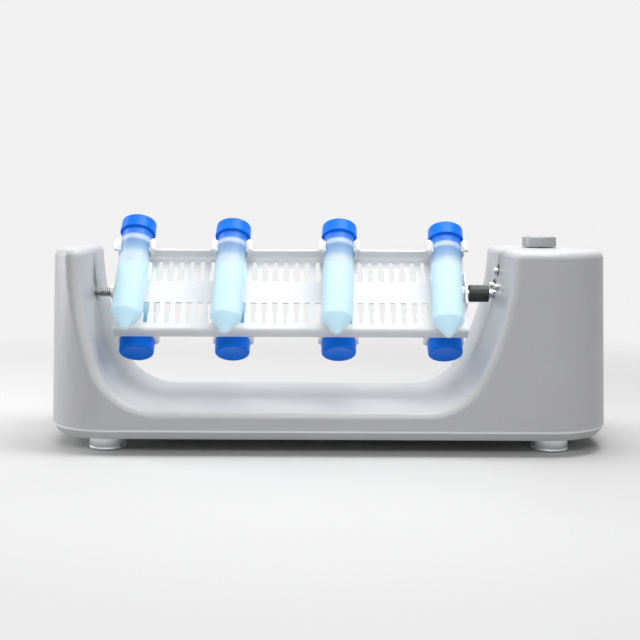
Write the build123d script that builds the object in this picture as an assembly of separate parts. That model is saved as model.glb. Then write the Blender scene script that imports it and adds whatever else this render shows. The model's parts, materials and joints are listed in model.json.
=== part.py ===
from build123d import *
import os
from math import acos, atan2, cos, degrees, pi, radians, sin, sqrt, tan

# Tube rotator: a moulded U-shaped housing carries a slotted rack between two columns.
# The right column drives the rack through a gear train, the left one holds a sprung pivot pin.
# X runs along the rack, Y to the back, Z up; the origin is on the table, under the housing.
# All sizes are in millimetres.

# Rotor axis and tilt of the rack at rest
axis_height = 141.0
rack_tilt = 35.0

# Housing
housing_width = 522.0
housing_depth = 165.0
column_rise = 44.0
seam_height = 21.7
plan_corner_radius = 60.0
housing_draft = 0.4
wall = 3.0
top_edge_radius = 7.0
u_edge_radius = 8.0
rib_thickness = 1.8
rib_bottom = 28.0
rib_places = (-115.0, -30.0, 55.0)

# The U between the columns
swing_room = 100.0
u_left_run = 51.0
u_right_run = 46.0
u_left_foot_radius = 60.0
u_right_foot_radius = 55.0
u_left_foot_angle = 72.0
u_right_foot_angle = 62.0
u_left_flank_radius = 367.0
u_right_flank_radius = 265.0
u_brim_rise = 60.0

# Base tray, feet and the screws that close the base
tray_bottom = 14.2
tray_inset = 6.0
tray_wall = 2.5
tray_bottom_radius = 1.5
lip_height = 3.0
lip_thickness = 1.6
lip_clearance = 0.2
boss_radius = 4.0
boss_joint_height = 25.2
corner_boss_top = 62.0
corner_boss_reach = 48.0
middle_boss_x = 70.0
middle_boss_inset = 13.5
boss_hole_depth = 10.0
floor_rib_y = 26.0
floor_rib_length = 360.0
floor_rib_height = 3.0
foot_radius = 16.8
foot_inset_x = 55.0
foot_inset_y = 37.0
foot_lip_radius = 1.2
foot_screw_radius = 2.0
foot_screw_reach = 8.0
foot_screw_head_radius = 3.6
foot_screw_head = 2.2
pad_radius = 14.0
pad_height = 2.5
pad_seat = 0.6

# Slotted rack
rack_length = 340.0
rack_center_x = -36.0
rack_height = 84.0
rack_sheet = 2.0
flange_reach = 12.5
bend_radius = 3.0
slot_pitch = 10.35
slots_per_row = 32
slot_inner_end = 11.8
slot_step = 23.6
slot_outer_end = 35.0
slot_wide = 6.0
slot_narrow = 4.0
slot_corner = 1.4

# Rack ends
end_plate = 2.0
end_plate_height = 36.0
end_plate_width = 22.0
hub_flange_radius = 9.0
hub_flange = 2.5
hub_notch_clearance = 0.4
socket_radius = 5.0
socket_proud = 1.8
socket_length = 9.8
stub_length = 16.0
rivet_radius = 1.1
rivet_offset = 7.0
rivet_head_radius = 1.75
rivet_head = 0.8

# Tubes, caps and liquid
tube_radius = 14.75
tube_wall = 1.2
tube_length = 116.0
cone_length = 16.0
tip_radius = 3.6
tip_rise = 1.4
tip_flat = 2.2
tip_floor = 2.0
tube_offset = 30.0
front_cap_top = 57.0
rear_cap_top = 51.0
tube_places = (-14.5, -5.5, 4.5, 14.5)
tube_slips = (4.0, 0.0, 0.0, -3.0)
cap_radius = 17.25
cap_height = 13.5
cap_top_wall = 1.6
cap_edge = 1.0
cap_neck_clearance = 0.3
front_liquid_rise = 31.0
rear_liquid_rise = -2.0
liquid_gap = 0.05

# Tube clips
clip_center = 30.0
clip_height = 11.0
clip_wall = 1.8
clip_gap = 0.15
clip_opening = 62.0
clip_ear = 4.0
clip_ear_flare = 20.0
clip_bead_radius = 2.2
clip_stem_width = 9.0
clip_neck_clearance = 0.15
clip_head = 1.6
clip_neck_length = 7.0

# Shafts and coupling
shaft_radius = 4.0
fit_clearance = 0.05
shaft_hole_clearance = 0.6
coupling_radius = 8.3
coupling_left = 137.0
coupling_length = 19.0
coupling_chamfer = 0.6
shaft_meeting_gap = 1.0
set_screw_radius = 2.0
set_screw_inset = 4.5

# Sprung pivot pin
pin_radius = 3.0
pin_nose = 6.6
pin_nose_chamfer = 0.5
pin_collar_radius = 7.0
pin_collar = 2.5
pin_face_gap = 0.3
pin_tail = 2.4
pin_boss_radius = 8.5
pin_boss_depth = 6.0
pin_pocket_lead = 0.3
pin_pocket_clearance = 0.6
bush_flange_radius = 8.0
bush_flange = 1.5
bush_radius = 5.5
bush_length = 11.5
circlip_radius = 5.0
circlip_seat_radius = 2.5
circlip = 1.2
spring_wire = 1.1
spring_radius = 4.2
spring_turns = 5.5

# Gear train in the right column
gear_module = 1.25
drive_teeth = 36
pinion_teeth = 12
gear_backlash = 0.12
pressure_angle = radians(20)
root_depth = 1.25
gear_width = 6.0
pinion_overhang = 0.5
gear_hub_radius = 8.0
gear_holes = 4
gear_hole_circle = 14.2
gear_hole_radius = 4.0
gear_plate_setback = 9.0
gear_plate = 2.0
gear_plate_gap = 14.0
gear_plate_width = 52.0
gear_plate_rise = 28.0
gear_plate_drop = 50.0
post_radius = 3.0
post_tenon_radius = 1.8
post_inset = 5.0
output_bush_radius = 6.5
output_bush_barrel = 5.5
output_bush_flange = 1.0
motor_radius = 17.0
motor_length = 48.0
motor_edge_radius = 2.0
motor_boss_radius = 5.0
motor_boss = 1.5
motor_bearing_depth = 42.0
motor_shaft_radius = 1.5
motor_screw_spread = 12.5
motor_cover_radius = 14.5
motor_cover = 3.0
motor_tag_length = 5.0
motor_tag_thickness = 0.8
motor_tag_width = 3.0

# Screws that hold the gear train to the wall
face_screw_places = ((0.0, 22.2), (-11.0, 7.5), (11.0, 7.5))
face_screw_head_radius = 3.0
face_screw_head = 4.3
face_screw_radius = 1.5
face_screw_round = 0.5
face_boss_radius = 4.5
face_washer_radius = 6.0
face_washer = 0.6
face_spot_depth = 0.4
driver_slot_depth = 1.0
driver_slot_width = 0.9
screw_groove_width = 3.0
screw_groove_depth = 0.8

# Speed control
knob_inset = 50.0
knob_y = 27.0
knob_radius = 16.75
knob_height = 9.8
knob_gap = 1.2
knob_wall = 2.0
knob_chamfer = 1.2
knob_hub_radius = 5.0
knob_seat_depth = 3.0
control_radius = 8.5
control_height = 9.0
control_floor = 2.0
control_thread_radius = 3.5
control_thread_height = 3.5
control_shaft_radius = 2.4
control_nut_radius = 5.5
control_nut = 2.0
board_inset = 45.0
board_y = 21.0
board_thickness = 1.6
board_width = 44.0
board_depth = 58.0
board_hole_inset = 4.0
board_post_radius = 3.0
board_post_depth = 7.0

# Rear connections
panel_inset = 84.0
panel_z = 72.0
panel_width = 46.0
panel_height = 30.0
panel_recess = 4.5
panel_corner = 4.0
switch_offset = 10.0
switch_width = 21.0
switch_height = 15.0
switch_lip = 1.0
switch_proud = 1.6
switch_body_depth = 14.0
rocker_length = 16.2
rocker_width = 9.6
rocker_clearance = 0.6
rocker_angle = 8.0
rocker_rise = 2.9
rocker_dip = 1.5
rocker_skirt = 1.0
rocker_keel = 4.0
rocker_room = 8.0
rocker_pivot_depth = 1.5
rocker_pin_radius = 1.0
rocker_pin_reach = 6.0
inlet_offset = -14.0
inlet_radius = 5.5
inlet_flange_radius = 7.5
inlet_flange = 1.5
inlet_depth = 12.0
inlet_bore = 3.2
inlet_bore_depth = 9.0
inlet_pin_radius = 1.0
inlet_pin_root = 2.0

# Small screws and the holes they pass through
m3_radius = 1.5
m3_head_radius = 2.75
m3_head = 2.4
m3_sink = 3.0
base_screw_bite = 8.0
inner_screw_length = 5.0
hole_clearance = 0.1


def u_side(side):
    """Flat end, foot radius, foot angle and flank radius of one side of the U."""
    if side < 0:
        return u_left_flat_end, u_left_foot_radius, radians(u_left_foot_angle), u_left_flank_radius
    return u_right_flat_end, u_right_foot_radius, radians(u_right_foot_angle), u_right_flank_radius


def u_flank_center(side):
    """Centre of the large arc of one side of the U."""
    flat_end, foot_radius, foot, flank_radius = u_side(side)
    x = flat_end + side * (foot_radius - flank_radius) * sin(foot)
    return x, u_floor + foot_radius + (flank_radius - foot_radius) * cos(foot)


def u_join_height(side):
    """Height where the foot arc runs into the flank arc."""
    _, foot_radius, foot, _ = u_side(side)
    return u_floor + foot_radius * (1 - cos(foot))


def u_wall_x(side, z, outward=0.0):
    """X of the U's flank at a height; outward moves it into the column."""
    center_x, center_z = u_flank_center(side)
    reach = u_side(side)[3] + outward
    height = max(z, u_join_height(side))
    return center_x + side * reach * sin(acos(max(0.0, center_z - height) / reach))


# Worked out from the sizes above
housing_top = axis_height + column_rise
u_floor = axis_height - swing_room
rack_left = rack_center_x - rack_length / 2
rack_right = rack_center_x + rack_length / 2
u_left_flat_end = rack_left + u_left_run
u_right_flat_end = rack_right - u_right_run
foot_x = housing_width / 2 - foot_inset_x
foot_y = housing_depth / 2 - foot_inset_y
knob_x = housing_width / 2 - knob_inset
board_x = housing_width / 2 - board_inset
panel_x = housing_width / 2 - panel_inset
switch_x = panel_x + switch_offset
inlet_x = panel_x + inlet_offset
gear_plate_x = u_wall_x(1, axis_height) + gear_plate_setback
half_sheet = rack_sheet / 2
socket_face = rack_left - socket_proud
socket_end = socket_face + socket_length
stub_start = rack_right - stub_length
coupling_right = coupling_left + coupling_length
shaft_meeting = coupling_left + coupling_length / 2
bush_seat = u_wall_x(-1, housing_top) + pin_pocket_lead
bush_face = bush_seat + bush_flange
bush_end = bush_seat - bush_length
circlip_x = bush_end - pin_face_gap
collar_face = socket_face - pin_face_gap
gear_distance = gear_module * (drive_teeth + pinion_teeth) / 2
motor_height = axis_height - gear_distance
front_plate_back = gear_plate_x + gear_plate
rear_plate_x = front_plate_back + gear_plate_gap
rear_plate_back = rear_plate_x + gear_plate
gear_left = front_plate_back + (gear_plate_gap - gear_width) / 2
corner_center_x = housing_width / 2 - plan_corner_radius
corner_center_y = housing_depth / 2 - plan_corner_radius
corner_boss_x = corner_center_x + corner_boss_reach * sin(radians(45))
corner_boss_y = corner_center_y + corner_boss_reach * sin(radians(45))
boss_places = [
    (sx * x, sy * y)
    for sx in (-1, 1)
    for sy in (-1, 1)
    for x, y in ((corner_boss_x, corner_boss_y), (middle_boss_x, housing_depth / 2 - middle_boss_inset))
]
foot_places = [(sx * foot_x, sy * foot_y) for sx in (-1, 1) for sy in (-1, 1)]
board_top = housing_top - wall - control_height
board_bottom = board_top - board_thickness
board_reach_x = board_width / 2 - board_hole_inset
board_reach_y = board_depth / 2 - board_hole_inset
board_posts = (
    (board_x - board_reach_x, board_y - board_reach_y),
    (board_x + board_reach_x, board_y - board_reach_y),
    (board_x - board_reach_x, board_y + board_reach_y),
)
control_foot = board_top + control_floor
control_thread_top = housing_top + control_thread_height
knob_bottom = housing_top + knob_gap
knob_top = knob_bottom + knob_height
knob_seat = knob_top - knob_seat_depth
rocker_pivot_y = housing_depth / 2 - panel_recess - rocker_pivot_depth


def u_profile(outward=0.0):
    """The U's outline across the housing, offset outward into the plastic."""
    edges, ends = [], []
    brim_z = max(u_flank_center(-1)[1], u_flank_center(1)[1]) + u_brim_rise
    for side in (-1, 1):
        flat_end, foot_radius, foot, flank_radius = u_side(side)
        small, large = foot_radius + outward, flank_radius + outward
        foot_z = u_floor + foot_radius
        flank_x, flank_z = u_flank_center(side)
        half = (foot + pi / 2) / 2
        bottom = (flat_end, u_floor - outward)
        middle = (flat_end + side * small * sin(foot / 2), foot_z - small * cos(foot / 2))
        join = (flat_end + side * small * sin(foot), foot_z - small * cos(foot))
        bulge = (flank_x + side * large * sin(half), flank_z - large * cos(half))
        upright = (flank_x + side * large, flank_z)
        brim = (upright[0], brim_z)
        edges += [ThreePointArc(bottom, middle, join), ThreePointArc(join, bulge, upright)]
        edges.append(Line(upright, brim))
        ends.append((bottom, brim))
    edges += [Line(ends[0][0], ends[1][0]), Line(ends[0][1], ends[1][1])]
    return make_face(Plane.XZ * Curve(edges))


def u_space(outward=0.0, depth=2 * housing_depth):
    """The room of the U, right through the housing."""
    return extrude(u_profile(outward), amount=depth / 2, both=True)


def outline(inset=0.0):
    """The housing's plan."""
    return RectangleRounded(
        housing_width - 2 * inset, housing_depth - 2 * inset, plan_corner_radius - inset
    )


def prism(inset, bottom, top):
    return extrude(Plane.XY.offset(bottom) * outline(inset), amount=top - bottom)


def x_cylinder(radius, x0, x1, y=0.0, z=0.0):
    """A round bar along X between two X positions."""
    return Pos((x0 + x1) / 2, y, z) * Rot(0, 90, 0) * Cylinder(radius, abs(x1 - x0))


def y_cylinder(radius, y0, y1, x=0.0, z=0.0):
    """A round bar along Y between two Y positions."""
    return Pos(x, (y0 + y1) / 2, z) * Rot(90, 0, 0) * Cylinder(radius, abs(y1 - y0))


def z_cylinder(radius, z0, z1, x=0.0, y=0.0):
    """A round bar along Z between two heights."""
    return Pos(x, y, (z0 + z1) / 2) * Cylinder(radius, abs(z1 - z0))


def on_rotor(shape):
    """Turns a piece drawn on an upright rack about X to the rack's rest tilt."""
    return Pos(0, 0, axis_height) * Rot(-rack_tilt, 0, 0) * shape


def save(shape, name):
    export_step(shape, f"parts/{name}.step")


def is_u_edge(edge):
    """True for the straight edges where the U's wall meets the top."""
    return edge.bounding_box().size.X < 0.01 and abs(edge.center().Y) < 1.0


def crest_edges(body, height):
    """The outside edges of both column tops."""
    return [e for e in body.edges() if e.center().Z > height - 0.01 and not is_u_edge(e)]


def rim_edges(body, top, outward=0.0):
    """Edges where the U's surface meets the front and the back."""
    found = []
    for e in body.edges():
        box = e.bounding_box()
        upright = box.size.X < 0.01 and box.size.Y < 1.5
        if upright or abs(e.center().Y) < housing_depth / 4 or box.min.Z < u_floor - outward - 0.1:
            continue
        if box.max.Z > top + 0.1 or box.min.Z > top - 0.1:
            continue
        middle = e @ 0.5
        left, right = u_wall_x(-1, middle.Z, outward), u_wall_x(1, middle.Z, outward)
        if left - 1 <= middle.X <= right + 1:
            found.append(e)
    return found


def outer_form():
    """The housing's outside: a drafted rounded block with the U cut through it."""
    block = extrude(
        Plane.XY.offset(seam_height) * outline(), amount=housing_top - seam_height, taper=housing_draft
    )
    body = block - u_space()
    body = fillet(rim_edges(body, housing_top), u_edge_radius)
    return fillet(crest_edges(body, housing_top), top_edge_radius)


def inner_space():
    """The hollow inside the housing, one wall behind every outside face."""
    ceiling = housing_top - wall
    block = extrude(
        Plane.XY.offset(seam_height - 1) * outline(wall),
        amount=ceiling - seam_height + 1,
        taper=housing_draft,
    )
    body = block - u_space(wall)
    body = fillet(rim_edges(body, ceiling, wall), u_edge_radius - wall)
    return fillet(crest_edges(body, ceiling), top_edge_radius - wall)


def screw_groove():
    """A shallow groove down the drive column's wall, from the top edge to the upper screw."""
    bottom = axis_height + face_screw_places[0][1]
    strip = u_space(screw_groove_depth, screw_groove_width)
    return strip & Pos(housing_width / 2, 0, bottom + housing_top / 2) * Box(
        housing_width, screw_groove_width, housing_top
    )


def pin_pocket(growth=0.0):
    """The upright pocket round the pivot pin: flat floor, open to the U, round at its foot."""
    radius = bush_flange_radius + pin_pocket_clearance + growth
    start = bush_seat - growth
    above = Pos((start + rack_left) / 2, 0, axis_height + column_rise / 2) * Box(
        rack_left - start, 2 * radius, column_rise
    )
    return above + x_cylinder(radius, start, rack_left, 0, axis_height)


def boss_gusset(x, y):
    """The thin web that ties a corner boss to the rounded wall beside it."""
    reach = plan_corner_radius - wall / 2 - corner_boss_reach
    height = corner_boss_top - boss_joint_height - lip_height
    web = Pos(reach / 2, 0, corner_boss_top - height / 2) * Box(reach, rib_thickness, height)
    return Pos(x, y, 0) * Rot(0, 0, degrees(atan2(y, x / abs(x) * abs(y)))) * web


def housing_shell():
    """Upper moulding with bosses, ribs, the spot faces for the shafts and the rear panel."""
    form = outer_form()
    shell = form - inner_space()
    shell += pin_pocket(wall) & form
    for x, y in boss_places:
        corner = abs(x) > middle_boss_x
        top = corner_boss_top if corner else u_floor - wall / 2
        shell += z_cylinder(boss_radius, boss_joint_height, top, x, y)
        if corner:
            shell += boss_gusset(x, y)
    rib_top = u_floor - wall / 2
    for x in rib_places:
        rib = Box(rib_thickness, housing_depth - 2 * wall + 1, rib_top - rib_bottom)
        shell += Pos(x, 0, (rib_top + rib_bottom) / 2) * rib
    shell += x_cylinder(pin_boss_radius, bush_seat - pin_boss_depth, bush_seat, 0, axis_height)
    for y, rise in face_screw_places:
        z = axis_height + rise
        shell += x_cylinder(face_boss_radius, u_wall_x(1, z) + wall / 2, gear_plate_x, y, z)
    for x, y in board_posts:
        shell += z_cylinder(board_post_radius, board_top, housing_top - wall / 2, x, y)
    back_y = housing_depth / 2 - panel_recess - wall
    shell += panel_block(panel_width + 2 * wall, back_y, housing_depth / 2 - wall / 2)
    shell -= panel_block(panel_width, housing_depth / 2 - panel_recess, housing_depth)
    for x, y in boss_places:
        shell -= z_cylinder(
            m3_radius + fit_clearance, boss_joint_height - wall, boss_joint_height + boss_hole_depth, x, y
        )
    shell -= pin_pocket()
    shell -= x_cylinder(bush_radius + fit_clearance, bush_seat - bush_length, bush_seat, 0, axis_height)
    shell -= screw_groove()
    shell -= x_cylinder(shaft_radius + shaft_hole_clearance, coupling_right, gear_plate_x, 0, axis_height)
    for y, rise in face_screw_places:
        z = axis_height + rise
        shell -= x_cylinder(face_screw_radius + hole_clearance, coupling_right, gear_plate_x, y, z)
        shell -= x_cylinder(face_washer_radius + hole_clearance, coupling_right, face_seat(z), y, z)
    for x, y in board_posts:
        shell -= z_cylinder(m3_radius + fit_clearance, board_top - 1, board_top + board_post_depth, x, y)
    shell -= z_cylinder(
        control_thread_radius + hole_clearance, housing_top - 2 * wall, housing_top, knob_x, knob_y
    )
    floor_y = housing_depth / 2 - panel_recess
    switch_hole = Box(
        switch_width - 2 * switch_lip + 2 * hole_clearance,
        3 * wall,
        switch_height - 2 * switch_lip + 2 * hole_clearance,
    )
    shell -= Pos(switch_x, floor_y, panel_z) * switch_hole
    shell -= y_cylinder(inlet_radius + hole_clearance, floor_y - 2 * wall, floor_y + wall, inlet_x, panel_z)
    return shell


def face_seat(z):
    """X of the spot face under a motor face screw at this height."""
    return u_wall_x(1, z) + face_spot_depth


def panel_block(width, y0, y1):
    height = panel_height + (width - panel_width)
    block = Pos(panel_x, (y0 + y1) / 2, panel_z) * Box(width, abs(y1 - y0), height)
    return fillet(block.edges().filter_by(Axis.Y), panel_corner)


def tapered_block(inset, bottom, top, lower_inset):
    """A rounded block whose walls draw in towards its lower face."""
    return loft([Plane.XY.offset(bottom) * outline(lower_inset), Plane.XY.offset(top) * outline(inset)])


def base_tray():
    """Lower moulding: sloping wall, locating lip, screw bosses and floor ribs."""
    tray = tapered_block(0, tray_bottom, seam_height, tray_inset)
    tray = fillet(tray.edges().group_by(Axis.Z)[0], tray_bottom_radius)
    floor_top = tray_bottom + tray_wall
    slope = tray_inset / (seam_height - tray_bottom)
    tray -= tapered_block(wall, floor_top, seam_height, wall + slope * (seam_height - floor_top))
    lip_inset = wall + lip_clearance
    ring_low, ring_high = seam_height - lip_height, seam_height + lip_height
    tray += prism(lip_inset, ring_low, ring_high) - prism(lip_inset + lip_thickness, ring_low, ring_high)
    for x, y in boss_places:
        tray += z_cylinder(boss_radius, floor_top, boss_joint_height, x, y)
    for y in (-floor_rib_y, 0, floor_rib_y):
        rib = Box(floor_rib_length, rib_thickness, floor_rib_height)
        tray += Pos(0, y, floor_top + floor_rib_height / 2) * rib
    for x, y in boss_places:
        tray -= z_cylinder(m3_radius + hole_clearance, tray_bottom, boss_joint_height, x, y)
        tray -= z_cylinder(m3_head_radius + hole_clearance, tray_bottom, tray_bottom + m3_sink, x, y)
    for x, y in foot_places:
        tray -= z_cylinder(foot_screw_radius + hole_clearance, tray_bottom, floor_top, x, y)
    return tray


def foot():
    """One foot: a turned cup with a recess for its pad and a blind screw hole."""
    cup = z_cylinder(foot_radius, pad_seat, tray_bottom)
    cup = fillet(cup.edges().group_by(Axis.Z)[0], foot_lip_radius)
    cup -= z_cylinder(pad_radius + fit_clearance, pad_seat, pad_height)
    return cup - z_cylinder(foot_screw_radius + fit_clearance, tray_bottom - foot_screw_reach, tray_bottom)


def foot_pad():
    return z_cylinder(pad_radius, 0, pad_height)


def foot_screw():
    floor_top = tray_bottom + tray_wall
    shank = z_cylinder(foot_screw_radius, tray_bottom - foot_screw_reach + 0.5, floor_top)
    return shank + z_cylinder(foot_screw_head_radius, floor_top, floor_top + foot_screw_head)


def at_places(shape, places):
    """Copies of one piece at several X, Y places, as separate solids."""
    return Compound(children=[Pos(x, y, 0) * shape for x, y in places])


def base_screws():
    under = tray_bottom + m3_sink
    screw = z_cylinder(m3_head_radius, under - m3_head, under)
    screw += z_cylinder(m3_radius, under, boss_joint_height + base_screw_bite)
    return at_places(screw, boss_places)


def turned(points):
    """A piece turned about its own upright axis from radius and height pairs."""
    return revolve(make_face(Plane.XZ * Polyline(*points, close=True)), Axis.Z)


def tube(cap_top):
    """A conical tube hanging from its cap, drawn about its own axis."""
    rim = cap_top - cap_top_wall
    tip = rim - tube_length
    shoulder = tip + cone_length
    inner = tube_radius - tube_wall
    slope = (tube_radius - tip_radius) / (cone_length - tip_rise)
    inner_shoulder = shoulder + tube_wall * (sqrt(1 + slope * slope) - 1) / slope
    inner_tip = tip + tip_floor
    return turned(
        [
            (0, tip),
            (tip_flat, tip),
            (tip_radius, tip + tip_rise),
            (tube_radius, shoulder),
            (tube_radius, rim),
            (inner, rim),
            (inner, inner_shoulder),
            (tip_radius - tube_wall, inner_tip),
            (0, inner_tip),
        ]
    )


def liquid(cap_top):
    """The whole inner room of a tube, a hair smaller than its wall."""
    rim = cap_top - cap_top_wall
    tip = rim - tube_length
    shoulder = tip + cone_length
    slope = (tube_radius - tip_radius) / (cone_length - tip_rise)
    inner_shoulder = shoulder + tube_wall * (sqrt(1 + slope * slope) - 1) / slope
    inner = tube_radius - tube_wall - liquid_gap
    return turned(
        [
            (0, tip + tip_floor + liquid_gap),
            (tip_radius - tube_wall - 2 * liquid_gap, tip + tip_floor + liquid_gap),
            (inner, inner_shoulder),
            (inner, rim - liquid_gap),
            (0, rim - liquid_gap),
        ]
    )


def cap(cap_top):
    """A flat screw cap with a rounded rim, open below for the tube's neck."""
    shell = z_cylinder(cap_radius, cap_top - cap_height, cap_top)
    shell = fillet(shell.edges().group_by(Axis.Z)[-1], cap_edge)
    return shell - z_cylinder(tube_radius + cap_neck_clearance, cap_top - cap_height, cap_top - cap_top_wall)


def clip():
    """A spring clip: C-shaped grip with beaded ears, a stem and a keyhole head."""
    inner = tube_radius + clip_gap
    outer = inner + clip_wall
    ear_angle = radians(clip_opening)
    reach = 2 * outer
    edge_x, edge_y = reach * sin(ear_angle), -reach * cos(ear_angle)
    mouth = make_face(Polyline((0, 0), (-edge_x, edge_y), (0, -2 * reach), (edge_x, edge_y), close=True))
    grip = Circle(outer) - Circle(inner) - mouth
    middle = inner + clip_wall / 2
    lean = ear_angle + radians(clip_ear_flare)
    for side in (-1, 1):
        start = Vector(side * middle * sin(ear_angle), -middle * cos(ear_angle))
        along = Vector(side * sin(lean), -cos(lean))
        tilt = degrees(atan2(along.Y, along.X))
        grip += Pos(start + along * (clip_ear / 2)) * Rot(0, 0, tilt) * Rectangle(clip_ear, clip_wall)
        grip += Pos(start + along * clip_ear) * Circle(clip_bead_radius)
    body = extrude(grip, amount=clip_height / 2, both=True)
    back = tube_offset - half_sheet
    stem_length = back - inner - clip_wall / 2
    stem = Box(clip_stem_width, stem_length, clip_height)
    body += Pos(0, back - stem_length / 2, 0) * stem
    neck_width = slot_narrow - 2 * clip_neck_clearance
    body += Pos(0, tube_offset, 0) * Box(neck_width, rack_sheet + 2 * clip_neck_clearance, clip_neck_length)
    head_width = slot_wide - 2 * clip_neck_clearance
    head_y = tube_offset + half_sheet + clip_neck_clearance + clip_head / 2
    body += Pos(0, head_y, 0) * Box(head_width, clip_head, clip_neck_length)
    return Pos(0, -tube_offset, clip_center) * body


def front_and_rear(shape, x, side):
    """Puts a piece of the front row in place; the rear row is turned half round the rotor's axis."""
    placed = Pos(x, 0, 0) * shape
    if side < 0:
        placed = Rot(180, 0, 0) * placed
    return on_rotor(placed)


def tube_x(index):
    return rack_center_x + tube_places[index] * slot_pitch


def cap_top_of(side, index):
    """Top of a tube's cap above the rotor's axis; only the front tubes sit unevenly."""
    return front_cap_top + tube_slips[index] if side > 0 else rear_cap_top


def below(shape, level):
    """The part of a shape under a level surface."""
    size = 2 * housing_width
    return shape & Pos(0, 0, level - size / 2) * Box(size, size, size)


def slot_cutter():
    """A keyhole slot standing on the inner end of its wide part."""
    depth = 2 * rack_sheet
    wide_length = slot_step - slot_inner_end
    wide = Pos(0, wide_length / 2) * RectangleRounded(slot_wide, wide_length, slot_corner)
    narrow_length = slot_outer_end - slot_inner_end - slot_corner
    narrow = Pos(0, slot_corner + narrow_length / 2) * SlotOverall(narrow_length, slot_narrow, rotation=90)
    return extrude(Plane.XZ * (wide + narrow), amount=depth / 2, both=True)


def rack_section():
    """The Z-shaped section: web on the axis, top flange forward, bottom flange back."""
    half = rack_height / 2
    points = [
        (-flange_reach, half),
        (half_sheet, half),
        (half_sheet, -half + rack_sheet),
        (flange_reach, -half + rack_sheet),
        (flange_reach, -half),
        (-half_sheet, -half),
        (-half_sheet, half - rack_sheet),
        (-flange_reach, half - rack_sheet),
    ]
    return make_face(Plane.YZ * Polyline(*points, close=True))


def tube_rack():
    """Folded sheet rack with two rows of keyhole slots and notched ends."""
    rack = Pos(rack_center_x, 0, 0) * extrude(rack_section(), amount=rack_length / 2, both=True)
    bends = [e for e in rack.edges().filter_by(Axis.X) if abs(abs(e.center().Y) - half_sheet) < 0.01]
    outside = [e for e in bends if abs(e.center().Z) > rack_height / 2 - 0.01]
    inside = [e for e in bends if abs(e.center().Z) < rack_height / 2 - 0.01]
    rack = fillet(outside, bend_radius)
    rack = fillet(nearest_edges(rack, inside), bend_radius - rack_sheet)
    cutter, cutters = slot_cutter(), []
    for k in range(slots_per_row):
        x = rack_center_x + (k - (slots_per_row - 1) / 2) * slot_pitch
        upper = Pos(x, 0, slot_inner_end) * cutter
        cutters += [upper, Rot(180, 0, 0) * upper]
    rack -= cutters
    for end, side, tail in ((rack_left, 1, socket_end), (rack_right, -1, stub_start)):
        depths = (
            (end_plate_height, end_plate),
            (2 * (hub_flange_radius + hub_notch_clearance), end_plate + hub_flange + hub_notch_clearance),
            (2 * (socket_radius + hub_notch_clearance), abs(tail - end) + hub_notch_clearance),
        )
        for height, depth in depths:
            rack -= Pos(end + side * depth / 2, 0, 0) * Box(depth, 2 * rack_sheet, height)
    return on_rotor(rack)


def nearest_edges(body, wanted):
    """The edges of a changed body that lie where the wanted edges were."""
    return [min(body.edges(), key=lambda e: (e.center() - w.center()).length) for w in wanted]


def end_plate_solid(center_x, bore):
    plate = Pos(center_x, 0, 0) * Box(end_plate, end_plate_width, end_plate_height)
    plate = fillet(plate.edges().filter_by(Axis.X), bend_radius)
    plate -= x_cylinder(bore + fit_clearance, center_x - end_plate, center_x + end_plate)
    for y in (-rivet_offset, rivet_offset):
        plate -= x_cylinder(rivet_radius + fit_clearance, center_x - end_plate, center_x + end_plate, y)
    return on_rotor(plate)


def rack_end_plates():
    left = end_plate_solid(rack_left + end_plate / 2, socket_radius)
    right = end_plate_solid(rack_right - end_plate / 2, shaft_radius)
    return Compound(children=[left, right])


def rivet_holes(x0, x1):
    return [x_cylinder(rivet_radius + fit_clearance, x0, x1, y) for y in (-rivet_offset, rivet_offset)]


def stub_shaft():
    """Drive end of the rack: a short shaft with a riveting flange."""
    flange_x = rack_right - end_plate
    shaft = x_cylinder(shaft_radius, stub_start, shaft_meeting - shaft_meeting_gap / 2)
    shaft += x_cylinder(hub_flange_radius, flange_x - hub_flange, flange_x)
    return on_rotor(shaft - rivet_holes(flange_x - hub_flange, flange_x))


def idler_socket():
    """Idle end of the rack: a flanged bush that runs on the sprung pin."""
    flange_x = rack_left + end_plate
    bush = x_cylinder(socket_radius, socket_face, socket_end)
    bush += x_cylinder(hub_flange_radius, flange_x, flange_x + hub_flange)
    bush -= x_cylinder(pin_radius + fit_clearance, socket_face, socket_face + pin_nose + 1)
    return on_rotor(bush - rivet_holes(flange_x, flange_x + hub_flange))


def hub_rivets():
    """Four rivets that hold the flanges to the end plates."""
    rivets = []
    for x0, x1 in (
        (rack_left, rack_left + end_plate + hub_flange),
        (rack_right - end_plate - hub_flange, rack_right),
    ):
        for y in (-rivet_offset, rivet_offset):
            rivet = x_cylinder(rivet_radius, x0, x1, y)
            rivet += x_cylinder(rivet_head_radius, x0 - rivet_head, x0, y)
            rivets.append(on_rotor(rivet + x_cylinder(rivet_head_radius, x1, x1 + rivet_head, y)))
    return Compound(children=rivets)


def set_screw_places():
    return (coupling_left + set_screw_inset, coupling_right - set_screw_inset)


def coupling_sleeve():
    sleeve = x_cylinder(coupling_radius, coupling_left, coupling_right)
    sleeve = chamfer(sleeve.edges().filter_by(GeomType.CIRCLE), coupling_chamfer)
    sleeve -= x_cylinder(shaft_radius + fit_clearance, coupling_left, coupling_right)
    for x in set_screw_places():
        sleeve -= y_cylinder(set_screw_radius + fit_clearance, 0, 2 * coupling_radius, x)
    return on_rotor(sleeve)


def coupling_screws():
    start = shaft_radius + fit_clearance
    return Compound(
        children=[
            on_rotor(y_cylinder(set_screw_radius, start, coupling_radius - hole_clearance, x))
            for x in set_screw_places()
        ]
    )


def pivot_bush():
    """Flanged bush in the left column that guides the sprung pin."""
    bush = x_cylinder(bush_flange_radius, bush_seat, bush_face)
    bush += x_cylinder(bush_radius, bush_end, bush_seat)
    return Pos(0, 0, axis_height) * (bush - x_cylinder(pin_radius + fit_clearance, bush_end, bush_face))


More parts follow.
